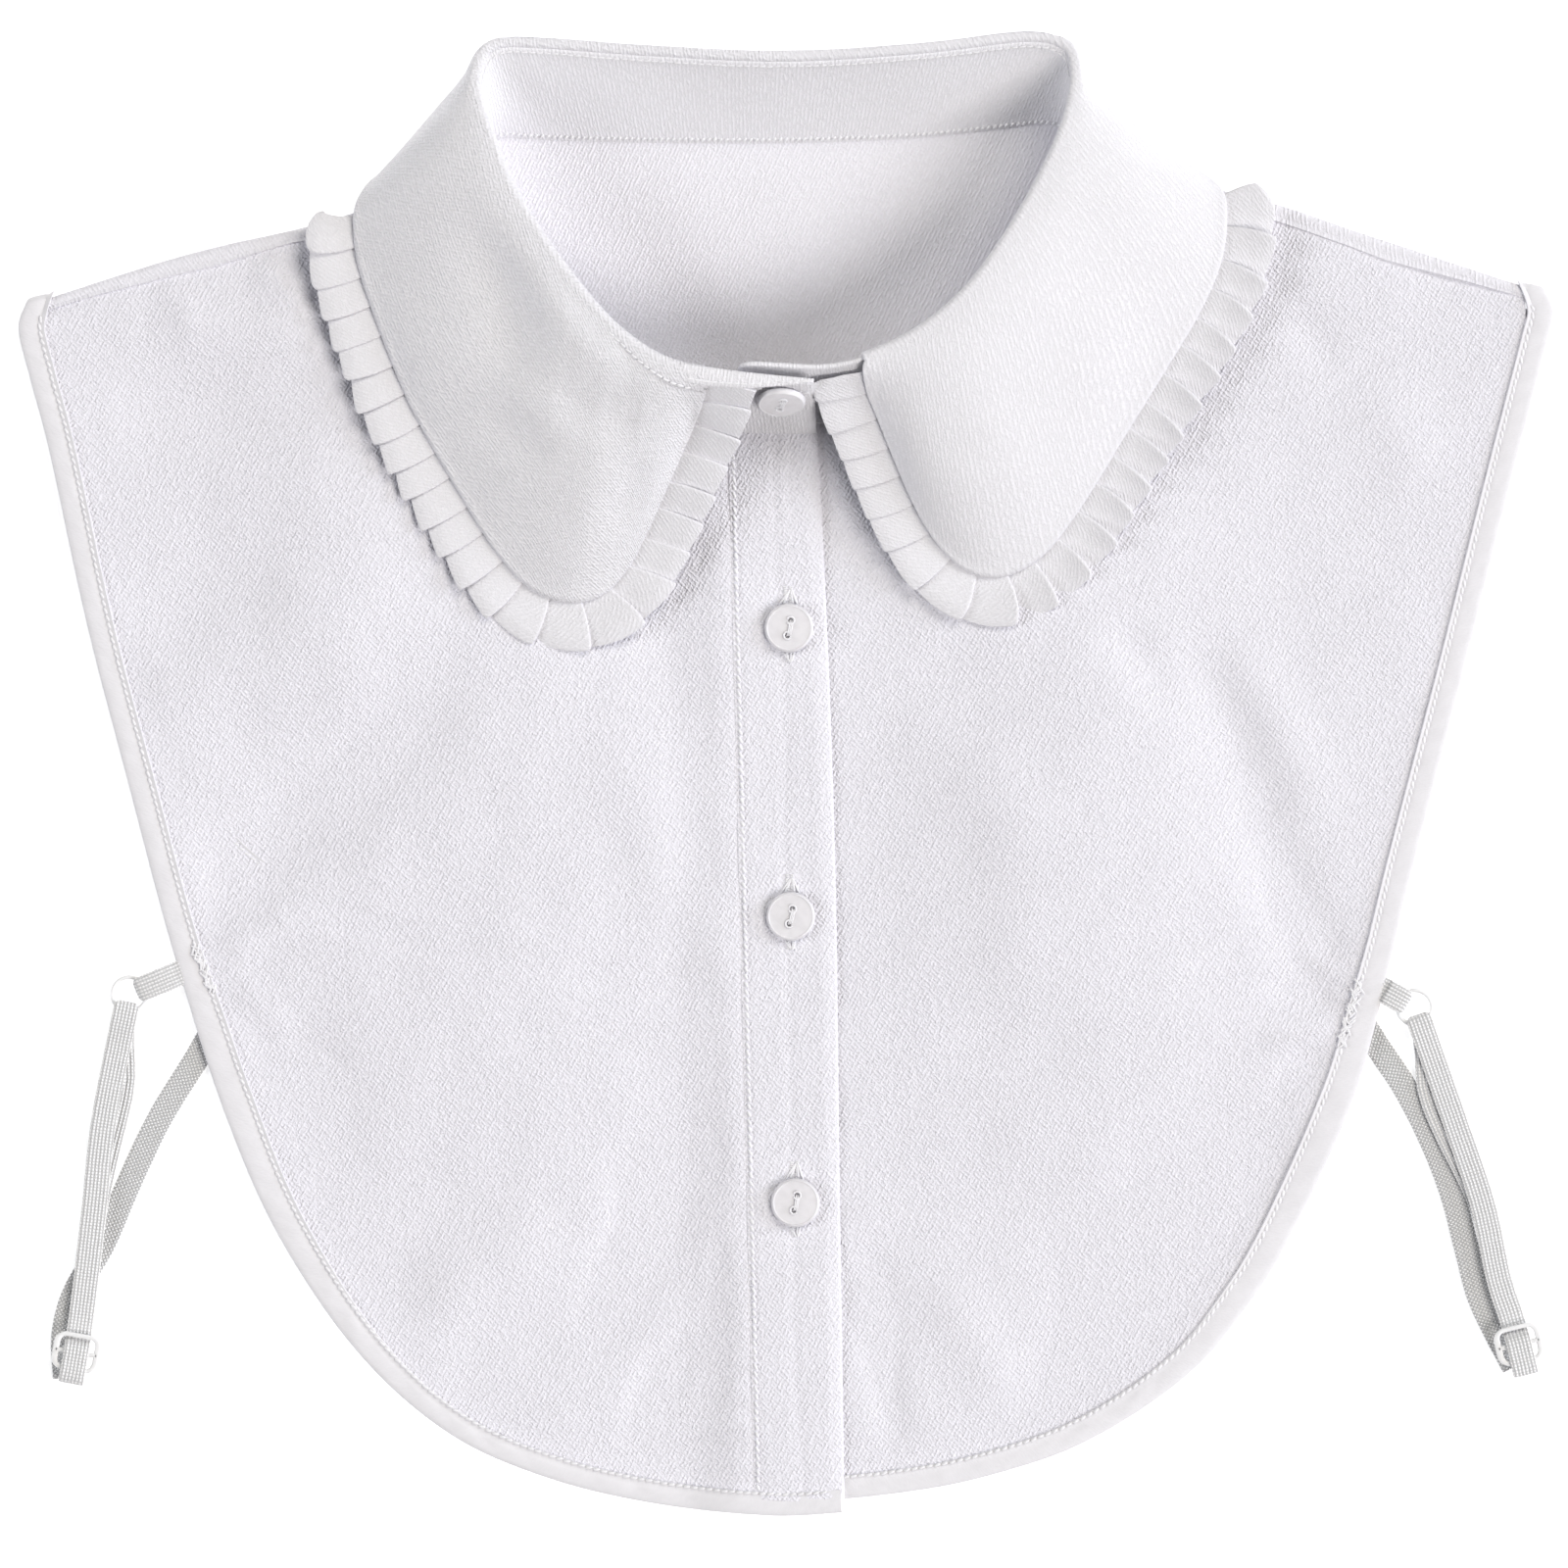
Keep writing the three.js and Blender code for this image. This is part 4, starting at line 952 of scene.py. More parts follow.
def stand_face(along, up, inner=True):
    """Points on a face of the stand, and the way out of it."""
    ahead = stand_points(along + 0.02, up) - stand_points(along - 0.02, up)
    rise = stand_points(along, up + 0.02) - stand_points(along, up - 0.02)
    out = unit(np.cross(ahead, rise)) * (1 if inner else -1)
    return stand_points(along, up) + out * STAND_HALF, out


def stand_stitches(first, last, seed, below_top=None, above_foot=None, inner=True, **sizes):
    """A row of stitches on the stand, some way below its top or above its foot."""
    along = np.linspace(first, last, round(abs(last - first) * 12) + 2)
    height = size_of(stand_points(along, 1) - stand_points(along, 0))
    up = above_foot / height if below_top is None else 1 - below_top / height
    path, out = stand_face(along, up, inner)
    return seam(path + out * 0.12, out, seed, **sizes)


def make_stand():
    along = np.linspace(0, STAND_END, 330)
    height = size_of(stand_points(along, 1) - stand_points(along, 0))
    up = edged(1.0, 0.055, 0.045) * STAND_TOP
    grid = stand_points(along[:, None], up[None])
    around = arc_lengths(grid[:, 0])
    ends = rounding(np.minimum(around, around[-1] - around), 0.7)[:, None]
    rise = up[None] * height[:, None]
    half = STAND_HALF * ends * rounding(rise, 0.6) * rounding((STAND_TOP - up[None]) * height[:, None], 0.5)
    normal = grid_normals(grid)
    waves = 0.16 * drift(around[:, None], rise, 26, 11) * np.sin(np.clip(up / STAND_TOP, 0, 1) * math.pi)
    grid = grid + normal * waves[..., None]
    return shell(Solid(), grid, half, half, stacked(around[:, None], rise), upward=False)


def lip_rise(out):
    """How high the lip lies above the stand's top, sinking towards its edge."""
    return LIP["rise"] - 0.06 * np.maximum(out, 0) ** 2


def make_band_lip():
    """The band's top edge, which turns out flat where no leaf covers it, over its button."""
    along = np.linspace(0.02, 1.75, 46)[:, None]
    share = np.concatenate([np.linspace(0, 0.8, 9), [0.86, 0.91, 0.95, 0.98, 1.0]])[None]
    width = np.interp(along, LIP["along"], LIP["width"])
    out = -STAND_HALF + (STAND_HALF + width) * share
    grid = stand_points(along, 1 + 0 * share) + stand_outward(along[:, 0])[:, None] * out[..., None]
    grid[..., 2] += lip_rise(out) + 0.08 * drift(20 * along, out, 6, 12)
    run = arc_lengths(grid[:, 0])[:, None]
    half = 0.5 * rounding(run, 0.6) * rounding(out + STAND_HALF, 0.5) * rounding(width - out, 0.6)
    return shell(Solid(), grid, half, half, stacked(run, out), upward=False)


def lip_stitches():
    along = np.linspace(0.12, 1.6, 40)
    width = np.interp(along, LIP["along"], LIP["width"])
    out = np.maximum(width - 0.95, 0.2)
    path = stand_points(along, 1) + stand_outward(along) * out[:, None]
    path[:, 2] += lip_rise(out) + 0.52
    return seam(path, straight_up(path), 23, width=0.42)


def fall_controls(section):
    """The four points that draw each section of the fall, from the stand's top to its free edge."""
    row = row_at(fall, section)
    top = stand_points(row["along"], 1) + stand_outward(row["along"]) * FALL_SETBACK
    edge, turn = point_at(row, "edge"), point_at(row, "turn")
    out = (turn - top) * np.array([1, 1, 0])
    reach = np.maximum(size_of(out)[:, None] / 3, LEAST_REACH)
    return top, top + unit(out) * reach, turn, edge


def fill_slopes():
    """Where the table gives no turn, it is two fifths of the way up from the edge, a little proud."""
    sloping = np.isnan(fall["turn_x"])
    top = stand_points(fall["along"], 1)
    rise = top[:, 1] - fall["edge_y"]
    proud = {"x": 0, "y": 0, "z": FALL_PROUD * smooth_step(0, 14, rise)}
    for k, axis in enumerate("xyz"):
        slope = mix(fall[f"edge_{axis}"], top[:, k], 0.4) + proud[axis]
        fall[f"turn_{axis}"] = np.where(sloping, slope, fall[f"turn_{axis}"])


fill_slopes()


def fall_points(section, t):
    """Points of the fall, with t from 0 at the stand's top to 1 at the free edge."""
    section, t = np.broadcast_arrays(np.asarray(section, float), np.asarray(t, float))
    flat, share = section.ravel(), t.reshape(-1, 1)
    p, q, r, e = fall_controls(flat)
    rest = 1 - share
    curve = p * rest ** 3 + 3 * q * rest ** 2 * share + 3 * r * rest * share ** 2 + e * share ** 3
    return curve.reshape(*section.shape, 3)


def leaf_waves(grid):
    """The leaves aren't quite flat: they swell and dip a little across their width."""
    x, y = grid[..., 0], grid[..., 1]
    return 0.30 * drift(x, y, 30, 14) + 0.12 * drift(x, y, 13, 15) + creased(x, y, leaf_creases)


LEAF_HALF = 0.5  # half the leaves' thickness, away from their turned edge
LEAF_HEM = 0.22  # how much more it is beside that edge
LEAF_NOSE = [(-0.35, -0.95), (-0.28, -0.45), (-0.05, -0.1), (0.35, 0.06), (0.85, 0.06)]  # out and up
TOP_SEAM_END = 7.0  # row of the fall where the seam on the left leaf runs out into the roll


def make_fall():
    section = np.linspace(0, FALL_END, 380)
    t = np.concatenate([
        np.linspace(0, 0.16, 19)[:-1],
        np.linspace(0.16, 0.95, 26),
        [0.96, 0.968, 0.975, 0.981, 0.986, 0.99, 0.994, 0.997, 1.0],
    ])
    grid = fall_points(section[:, None], t[None])
    top = stand_points(row_at(fall, section)["along"], np.ones(len(section)))
    outward = stand_outward(row_at(fall, section)["along"])
    nose = [top + outward * out + np.array([0, 0, rise]) for out, rise in LEAF_NOSE]
    grid = np.concatenate([np.stack(nose, axis=1), grid], axis=1)
    down = arc_lengths(grid)
    along = arc_lengths(grid[:, len(nose)])
    ends = rounding(np.minimum(along, along[-1] - along), 0.6)[:, None]
    to_edge = down[:, -1:] - down
    half = (LEAF_HALF + LEAF_HEM * hump(to_edge, 1.2, 1.1)) * ends * rounding(to_edge, 1.3)
    free = smooth_step(3, 14, down) * smooth_step(0, 6, to_edge)
    grid[..., 2] += leaf_waves(grid) * free * (grid[..., 2] > 3)
    below_seam = down - down[:, len(nose), None] - top_seam_off(section)[:, None]
    sewn = smooth_step(TOP_SEAM_END, TOP_SEAM_END - 2, section)[:, None]
    grid[..., 2] -= sewn * (0.5 * hump(below_seam, 0, 0.45) + 0.35 * smooth_step(-0.5, 0.3, below_seam))
    weave = (top[:, None] + outward[:, None] * down[..., None])[..., :2]
    grid[..., 2] = np.maximum(grid[..., 2], half + LEAST_GAP)
    return shell(Solid(), grid, half, half, weave, upward=False)


def top_seam_off(section):
    """How far below the roll the leaf is sewn to the band's top strip, at the left front."""
    return 0.9 + 3.7 * smooth_step(TOP_SEAM_END, 0.5, section)


def make_top_seam():
    section = np.linspace(0.15, TOP_SEAM_END, 60)
    t = np.linspace(0, 0.4, 60)
    grid = fall_points(section[:, None], t[None])
    off = arc_lengths(grid)
    path = np.array([
        [np.interp(far, line_off, line[:, k]) for k in range(3)]
        for far, line_off, line in zip(top_seam_off(section), off, grid)
    ])
    ups = unit(np.cross(grid[:, 8] - grid[:, 0], np.gradient(path, axis=0)))
    ups *= np.sign(ups[:, 2:])
    return seam(path + ups * 0.5, ups, 21)


# ------------------------------------------------------------------ frill
# At rows of the fall: how far a pleat's fold stands up, how far its outer end leans on along the frill,
# how much further out it reaches at its fold than where it is tucked under the next, how it swells in its
# middle, how far its outer corner is drawn back, and how much wider the frill is there.
pleating = table("row lift slant step belly corner wide", [
    (0, 1.0, -0.7, 1.2, 0.5, 0.5, 0.3),
    (5.5, 1.1, -0.5, 1.6, 0.5, 0.5, 0),
    (7.5, 1.0, 0.2, 1.6, 0.35, 0.6, 0),
    (9.5, 1.05, 1.4, 2.5, 0.45, 0.6, 0),
    (12.6, 1.05, 0.9, 2.5, 0.5, 0.9, 0),
    (14.5, 1.3, 0.4, 1.8, 0.6, 1.7, 0),
    (16.4, 0.8, 1, 1, 0.3, 1.5, 0),
    (26.8, 0.8, 1, 1, 0.3, 0.6, 0),
    (29.1, 1.2, 1.5, 1.6, -0.7, 0.6, 0),
    (33, 1.45, 2.6, 2.3, -0.8, 0.5, 0),
    (36.5, 1.3, 1.2, 1.9, -0.7, 0.5, 0),
    (38.5, 0.9, 0.6, 1.2, 0.1, 0.6, 0),
    (40, 0.45, 2.0, 0.6, 0.2, 0.4, 0.2),
    (44, 0.35, 2.6, 0.4, 0.2, 0.4, 1.3),
])
PLEAT_TUCKED = 2.4  # how far each pleat runs on under the next
PLEAT_HALF = 0.42  # half the height of its fold
END_CORNER = 2.6  # how far the corners at a frill's ends are cut round


def make_frill(first, last, seed):
    """A knife-pleated strip. Each pleat is raised at its fold, which lies over the pleat before it."""
    rows = np.linspace(first, last, 400)
    edge = fall_points(rows, 1.0)
    middle = (first + last) / 2
    away = fall_points(middle, 1.0) - fall_points(middle, 0.95)
    into_neck = {"start": 2.0 * (first < 1), "end": 2.4 * (last > 43)}
    row_lengths = arc_lengths(edge) + into_neck["start"]
    edge = spaced(stretched(edge, **into_neck), 0.5)
    outward = left_of(edge)
    outward *= np.sign(outward[len(edge) // 2] @ away)
    length = length_of(edge)
    count = round(length / PLEAT_PITCH)
    rng = np.random.default_rng(seed)
    solid = Solid()
    starts = np.linspace(0, length, count + 1)[:-1] + rng.uniform(-0.5, 0.5, count)
    starts[0] = 0
    for k, start in enumerate(starts):
        pitch = (starts[k + 1] if k + 1 < count else length) - start
        row = np.interp(start + pitch / 2, row_lengths, rows)
        manner = {name: np.interp(row, pleating["row"], column) for name, column in pleating.items()}
        manner["first"], manner["last"] = k == 0 and first > 1, k == count - 1
        pleat(solid, edge, outward, start, pitch, manner, rng.uniform(-1, 1, 4))
    return solid


def pleat(solid, edge, outward, start, pitch, manner, chance):
    """Adds one pleat: `run` goes from its fold to where it is tucked under the next, `b` from seam to hem."""
    total = pitch + (-0.4 if manner["last"] else PLEAT_TUCKED)
    run = np.concatenate([[0, 0.06, 0.16, 0.3, 0.5, 0.8], np.linspace(1.2, total, 9)])[:, None]
    b = np.array([0, 0.1, 0.25, 0.4, 0.55, 0.7, 0.82, 0.9, 0.95, 0.98, 1.0])[None]
    length = length_of(edge)
    bulge = 4 * b * (1 - b) * (0.45 + 0.2 * chance[3])
    slant = (manner["slant"] + 0.5 * chance[0]) * b ** 1.2
    at = np.clip(start + run - 0.7 * b * (1 - run / total) + slant - bulge, 0, length)
    base = sampled(edge, at.ravel()).reshape(*at.shape, 3)
    out = unit(carried(outward, edge, at.ravel())).reshape(*at.shape, 3)
    share = run / total
    reach = 1.7 * manner["corner"]
    corner = manner["corner"] * np.clip(1 - run / reach, 0, 1) ** 2
    for at_end, distance in ((manner["first"], run), (manner["last"], total - run)):
        corner = corner + at_end * END_CORNER * np.clip(1 - distance / 3.4, 0, 1) ** 2
    corner = corner * smooth_step(0.6, 1.0, b)
    step = manner["step"] * (1 + 0.3 * chance[1])
    hem = FRILL_WIDTH + manner["wide"] + step * (0.5 - share) - corner
    width = hem * b - 0.6 * (1 - b)
    grid = base + out * width[..., None]
    raised = manner["lift"] * (1.3 + 0.35 * chance[2])
    lift = mix(0.6, 1.0, manner["lift"]) * 0.75 + raised * smooth_step(-0.1, 0.9, b)
    belly = manner["belly"] * np.sin(share * math.pi) * smooth_step(0, 0.8, b) * manner["lift"]
    curl = -0.45 * smooth_step(0.7, 1.0, b) ** 2
    top = grid[..., 2] - 0.8 + lift * (1 - share) + belly - 0.4 * b + curl
    full = mix(PLEAT_HALF, 0.22, smooth_step(0.5, 3.5, run)) + 0 * b
    ends = rounding(run, 0.36) * (rounding(total - run, 0.36) if manner["last"] else 1)
    half = np.maximum(full * ends * rounding(hem * (1 - b), 0.4), 0.1)
    grid[..., 2] = np.maximum(top - full, full + 0.05)
    shell(solid, grid, half, half, stacked(start + run, width))


# ------------------------------------------------------------------ buttons
DISC_SIDES = 64


def disc_solid(profile):
    """A solid of revolution about z through a profile of (radius, height) from axis to axis."""
    turn = turns(DISC_SIDES)
    rings = [(r * np.cos(turn), r * np.sin(turn), z + 0 * turn) for r, z in profile if r > 0]
    points = np.stack(rings).transpose(0, 2, 1)
    faces = list(quads(len(rings), DISC_SIDES, around=True)[:, ::-1])
    faces.append(np.arange(DISC_SIDES)[::-1])
    faces.append((len(rings) - 1) * DISC_SIDES + np.arange(DISC_SIDES))
    return Solid().add(points, faces, (0, 0))


def placed(solid, place, frame_axes):
    """A solid's points turned to three axes and moved to a place."""
    solid.points = [points @ np.array(frame_axes) + np.array(place) for points in solid.points]
    return solid


def button_face(r):
    """Height of a button's top at a radius: a flat middle, a shallow dish and a thin raised rim."""
    rim = 0.2 * hump(r, BUTTON_RADIUS - 0.55, 0.15)
    edge = -1.0 * smooth_step(BUTTON_RADIUS - 0.45, BUTTON_RADIUS, r) ** 2
    return 1.5 + rim + edge - 0.08 * smooth_step(1.5, 4.2, r)


def make_button():
    radii = np.concatenate([np.linspace(0.4, 4.2, 6), np.linspace(4.5, BUTTON_RADIUS, 14)])
    edge = [(BUTTON_RADIUS - inward, z) for inward, z in ((1.2, 0), (0.4, 0.12), (0.06, 0.45))]
    return disc_solid([(0.4, 0), *edge, *zip(radii[::-1], button_face(radii[::-1]))])


def bore(piece):
    """Cuts the two thread holes through a button, which lies at the origin."""
    cutters = []
    for side in (-1, 1):
        bpy.ops.mesh.primitive_cylinder_add(vertices=28, radius=HOLE_RADIUS * MM, depth=8 * MM)
        cutter = bpy.context.object
        cutter.location = tuple(side * HOLES_APART / 2 * MM * v for v in (*HOLES_LEAN, 0))
        cutters.append(cutter)
    for cutter in cutters:
        cut = piece.modifiers.new("hole", "BOOLEAN")
        cut.object = cutter
        cut.operation = "DIFFERENCE"
        cut.solver = "EXACT"
    made = bpy.data.meshes.new_from_object(piece.evaluated_get(bpy.context.evaluated_depsgraph_get()))
    piece.modifiers.clear()
    look = piece.data.materials[0]
    piece.data = made
    made.materials.clear()
    made.materials.append(look)
    made.polygons.foreach_set("material_index", np.zeros(len(made.polygons), np.int32))
    made.shade_smooth()
    made.set_sharp_from_angle(angle=math.radians(40))
    for cutter in cutters:
        bpy.data.objects.remove(cutter)


def button_thread(seed):
    """Strands over a button between its holes and round them, and the shank below it."""
    rng = np.random.default_rng(seed)
    solid = Solid()
    half = HOLES_APART / 2
    lean_x, lean_y = HOLES_LEAN
    for side in (-0.05, 0.3, 0.62):
        sway = rng.uniform(-0.1, 0.1, 2)
        t = np.linspace(-1, 1, 9)
        out = side + sway[1] * t
        height = 1.72 - 0.7 * np.abs(t) ** 6 + 0.1 * sway[0]
        x, y = t * half * lean_x + out * lean_y, t * half * lean_y - out * lean_x
        strand(solid, stacked(x, y, height), 0.17)
    for end in (-1, 1):
        x, y = end * half * lean_x, end * half * lean_y
        turn = np.linspace(0.5, 5.8, 16) + (0 if end < 0 else math.pi)
        strand(solid, stacked(x + 0.88 * np.cos(turn), y + 0.88 * np.sin(turn), 1.62), 0.22)
        strand(solid, stacked(x, y, np.array([-BUTTON_LIFT - 0.3, 0.3, 0.9])), 0.4)
    return solid


def strand(solid, path, radius):
    """Adds a round thread along a path of points."""
    ahead = unit(np.gradient(path, axis=0))
    flat_run = np.abs(ahead[:, 2]).max() < 0.8
    across = unit(np.cross(ahead, [0, 0, 1.0] if flat_run else [1.0, 0, 0]))
    return swept(solid, path, across, np.cross(ahead, across), radius * circle(turns(8)), arc_lengths(path))


def buttonhole(solid, place, seed):
    """Adds a buttonhole's two rows of satin stitches, and the threads that fan out past the button."""
    rng = np.random.default_rng(seed)
    x, y = place
    long, gap, pitch = 17.5, 0.62, 0.42
    rows = np.arange(-long / 2, long / 2, pitch)
    for side in (-1, 1):
        at_y = y + 1.2 + rows + rng.uniform(-0.06, 0.06, len(rows))
        at_x = x + lean(at_y - y) + side * gap + rng.uniform(-0.07, 0.07, len(rows))
        places = stacked(at_x, at_y, placket_top(at_x, at_y) + 0.10)
        heading = stacked(1 + 0 * rows, rng.uniform(-0.25, 0.25, len(rows)), 0)
        thread(solid, places, heading, straight_up(places), 1.0, 0.34, 0.3)
    splayed = np.array([-1.0, -0.55, 0.35, 0.8])
    for end, reach, spread in ((1, 3.3, 2.4), (-1, 2.0, 1.4)):
        off = splayed * spread + rng.uniform(-0.15, 0.15, 4)
        foot = end * (np.sqrt(BUTTON_RADIUS ** 2 - off ** 2) + 0.1)
        peak = end * (BUTTON_RADIUS + reach) + rng.uniform(-0.4, 0.4, 4)
        lean_in = 0.25 * splayed + 0.3
        at_x, at_y = x + (off + lean_in) / 2, y + (foot + peak) / 2
        places = stacked(at_x, at_y, placket_top(at_x, at_y) + 0.22)
        heading = stacked(lean_in - off, peak - foot, 0.02)
        length = np.hypot(lean_in - off, peak - foot)
        thread(solid, places, heading, straight_up(places), length, 0.5, 0.5)
    return solid


# ------------------------------------------------------------------ elastic straps
RIBS = 7  # across the elastic


def elastic_profile(width):
    """Ribbed elastic across its width, round at the edges."""
    x = np.linspace(-0.5, 0.5, RIBS * 4 + 1)
    half = ELASTIC / 2 - 0.06 + 0.075 * np.cos(2 * math.pi * RIBS * x + math.pi)
    half *= np.sqrt(np.clip(1 - (np.abs(x) * 2) ** 14, 0.05, 1))
    over = np.stack([x * width, half], -1)
    return np.concatenate([over, (over * [1, -1])[::-1]])


def ribbon(route, profile, step=0.9):
    """Elastic that follows a route in plan; the profile gives its height, and may run back."""
    rows = table("distance z width", [(*row, ELASTIC_WIDTH)[:3] for row in profile])
    count = math.ceil(arc_lengths(stacked(rows["distance"], rows["z"]))[-1] / step)
    row = row_at(rows, np.linspace(0, len(profile) - 1, max(count, 6 * len(profile))))
    path = spaced(stacked(row["distance"], row["z"], row["width"]), step)
    distance = np.clip(path[:, 0], 0, length_of(route))
    origins = sampled(route, distance)
    origins[:, 2] = path[:, 1]
    ahead = sampled(route, distance + 0.6) - sampled(route, distance - 0.6)
    side = unit(stacked(-ahead[:, 1], ahead[:, 0], 0))
    up = unit(np.cross(np.gradient(origins, axis=0), side))
    sections = np.array([elastic_profile(width) for width in path[:, 2]])
    return swept(Solid(), origins, side, up, sections, arc_lengths(origins))


def every_few(first, last, step):
    return np.linspace(first, last, max(1, round((last - first) / step)) + 1)


def loop_round(wire):
    """The elastic's way round a ring's wire: over, through and back."""
    angles = np.radians([90, 45, 0, -45, -90])
    radius, inside, leg = LOOP["radius"], LOOP["inside"], LOOP["leg"]
    widths = (ELASTIC_WIDTH, 5.5, LOOP["width"], LOOP["width"], LOOP["width"])
    turn = [
        (wire + inside + radius * math.cos(a), RING_HEIGHT + radius * math.sin(a), width)
        for a, width in zip(angles, widths)
    ]
    return [(wire - leg, RING_HEIGHT + radius), *turn, (wire - leg, RING_HEIGHT - radius)]


def front_run(route):
    top = SLIDER["from"] + SLIDER_LENGTH
    wire = length_of(route) - RING_RADIUS
    slot = top - SLIDER["bar"]
    over_foot = [(2.4, OVER_BARS), (SLIDER["from"] + 2, OVER_BARS)]
    turned_up = [(2.6, 1.75), (1.2, 2.2), (0.6, 3.2), (1.0, 4.5), *over_foot]
    through_slot = [(slot - SLIDER["slot"] + 0.2, OVER_BARS), (slot - 1.5, 4.1), (slot - 0.4, FRONT_RUN)]
    run = [(distance, FRONT_RUN) for distance in every_few(top + 1, wire - LOOP["leg"] - 6, 9)]
    return ribbon(route, [*turned_up, *through_slot, *run, *loop_round(wire)])


def return_run(route, shift):
    """It leaves the ring under the front run and slides out to one side of it."""
    start = SLIDER["from"] + SLIDER_LENGTH + 0.5
    end = length_of(route) - RING_RADIUS - LOOP["leg"] - 2 * SEAM_GAP
    share = np.linspace(0, 1, len(route))
    shifted = route.copy()
    shifted[:, 0] += shift * smooth_step(0.4, 0.75, share) * (1 - smooth_step(0.75, 0.93, share))
    run = [(distance, RETURN_RUN) for distance in every_few(start, end - 5, 9)]
    return ribbon(shifted, [*run, (end, RING_HEIGHT - LOOP["radius"])])


def back_run(route):
    return ribbon(route, [(distance, BACK_RUN) for distance in every_few(0, length_of(route), 6)])


STUB_SEWN_IN = 4.0


def stub(start, ring):
    start, ring = np.array(start), np.array(ring)
    start = start - STUB_SEWN_IN * unit(ring - start)
    route = np.array([(*start, 0.0), (*ring, 0.0)])
    wire = length_of(route) - RING_RADIUS
    over = [(0.2, 2.75), (STUB_SEWN_IN, 2.75), (STUB_SEWN_IN + 1.4, 3.2)]
    under = [(STUB_SEWN_IN + 1.4, 1.8), (STUB_SEWN_IN, 2.35), (0.2, 2.35)]
    return ribbon(route, [*over, *loop_round(wire), *under], step=0.35)


def make_ring(place):
    turn = turns(64)
    out = stacked(np.cos(turn), np.sin(turn), 0)
    origins = np.array([*place, RING_HEIGHT]) + out * RING_RADIUS
    wire = RING_WIRE * circle(turns(16))
    return swept(Solid(), origins, out, straight_up(out), wire, turn * RING_RADIUS, closed=True)


SLIDER_CORNER = 2.2  # radius of its corners
SLIDER_AIM = 8  # it points along this much of the elastic


def make_slider(route):
    """A frame of round-edged bars: the two sides with the top and foot in one loop, and the middle bar."""
    bar, thick = SLIDER["bar"], SLIDER["thick"]
    half = SLIDER["width"] / 2 - SLIDER["side"] / 2
    half_long = (SLIDER_LENGTH - bar) / 2
    turn = turns(40)
    cos, sin = np.cos(turn), np.sin(turn)
    x = np.clip(cos * 20, -1, 1) * (half - SLIDER_CORNER) + SLIDER_CORNER * cos
    y = np.clip(sin * 20, -1, 1) * (half_long - SLIDER_CORNER) + SLIDER_CORNER * sin
    loop = stacked(x, y, 0)
    out = stacked(cos, sin, 0)
    curve = circle(turns(14))
    blocky = np.sign(curve) * np.abs(curve) ** 0.6
    wide = mix(bar, SLIDER["side"], np.abs(cos) ** 4)
    profile = blocky * stacked(wide / 2, thick / 2)[:, None]
    solid = swept(Solid(), loop, out, straight_up(out), profile, turn, closed=True)
    middle = stacked(np.linspace(-half, half, 5), 0, 0)
    flat = np.broadcast_to([0.0, 1, 0], middle.shape)
    swept(solid, middle, flat, straight_up(middle), blocky * [bar / 2, thick / 2], middle[:, 0])
    ahead = unit(sampled(route, [SLIDER_AIM])[0] - route[0])
    sideways = np.array([ahead[1], -ahead[0], 0])
    to_middle = SLIDER["from"] + SLIDER_LENGTH / 2
    place = route[0] + ahead * to_middle + np.array([0, 0, SLIDER["under"] + thick / 2])
    return placed(solid, place, [sideways, ahead, [0, 0, 1]])


# ------------------------------------------------------------------ sewing
def placket_stitches():
    y = np.linspace(-168.5, 84, 500)
    x = placket_x(PLACKET_SEAM / PLACKET_WIDTH, y)
    path = stacked(x, y, placket_height(x, y) + PLACKET_CLOTH + 0.08 + placket_pull(x, y))
    return seam(path, straight_up(path), 31, skew=0.45, width=0.72, height=0.62)


BINDING_TOP = 1.62  # from the front's underside to the top of its binding


def bartack(solid, line, seed, count):
    """Adds the scribble of thread where a stub of elastic is sewn in under the binding."""
    rng = np.random.default_rng(seed)
    (x1, y1), (x2, y2) = line
    t = np.linspace(0, 1, count)
    x = mix(x1, x2, t) + rng.uniform(-0.8, 0.8, count)
    y = mix(y1, y2, t) + rng.uniform(-0.8, 0.8, count)
    angle = math.atan2(y2 - y1, x2 - x1) + np.where(np.arange(count) % 2, 0.75, -0.6)
    angle += rng.uniform(-0.3, 0.3, count)
    places = stacked(x, y, front_height(x, y) + BINDING_TOP + 0.15)
    heading = stacked(np.cos(angle), np.sin(angle), 0.05)
    return thread(solid, places, heading, straight_up(places), 2.4, 0.5, 0.45)


# ------------------------------------------------------------------ looks
def new_look(name, roughness, constants=()):
    """A material; what is the same all over a surface is set on the shader's own sockets."""
    look = bpy.data.materials.new(name)
    look.use_nodes = True
    sockets = look.node_tree.nodes["Principled BSDF"].inputs
    sockets["Roughness"].default_value = roughness
    for socket, value in dict(constants).items():
        sockets[socket].default_value = value
    return look


def add_node(look, kind, feeds=(), **settings):
    """Adds a node, and feeds its inputs with numbers or with other nodes' outputs."""
    made = look.node_tree.nodes.new("ShaderNode" + kind)
    for setting, value in settings.items():
        setattr(made, setting, value)
    for socket, value in dict(feeds).items():
        if isinstance(value, bpy.types.NodeSocket):
            look.node_tree.links.new(value, made.inputs[socket])
        else:
            made.inputs[socket].default_value = value
    return made


def cloth_place(look, turn=0.0, stretch=(1, 1, 1)):
    """Cloth coordinates in mm, turned and stretched."""
    weave = add_node(look, "Attribute", attribute_name="weave").outputs["Vector"]
    turned = add_node(look, "Mapping", {"Vector": weave, "Rotation": (0, 0, turn)}).outputs[0]
    return add_node(look, "Mapping", {"Vector": turned, "Scale": stretch}).outputs[0]


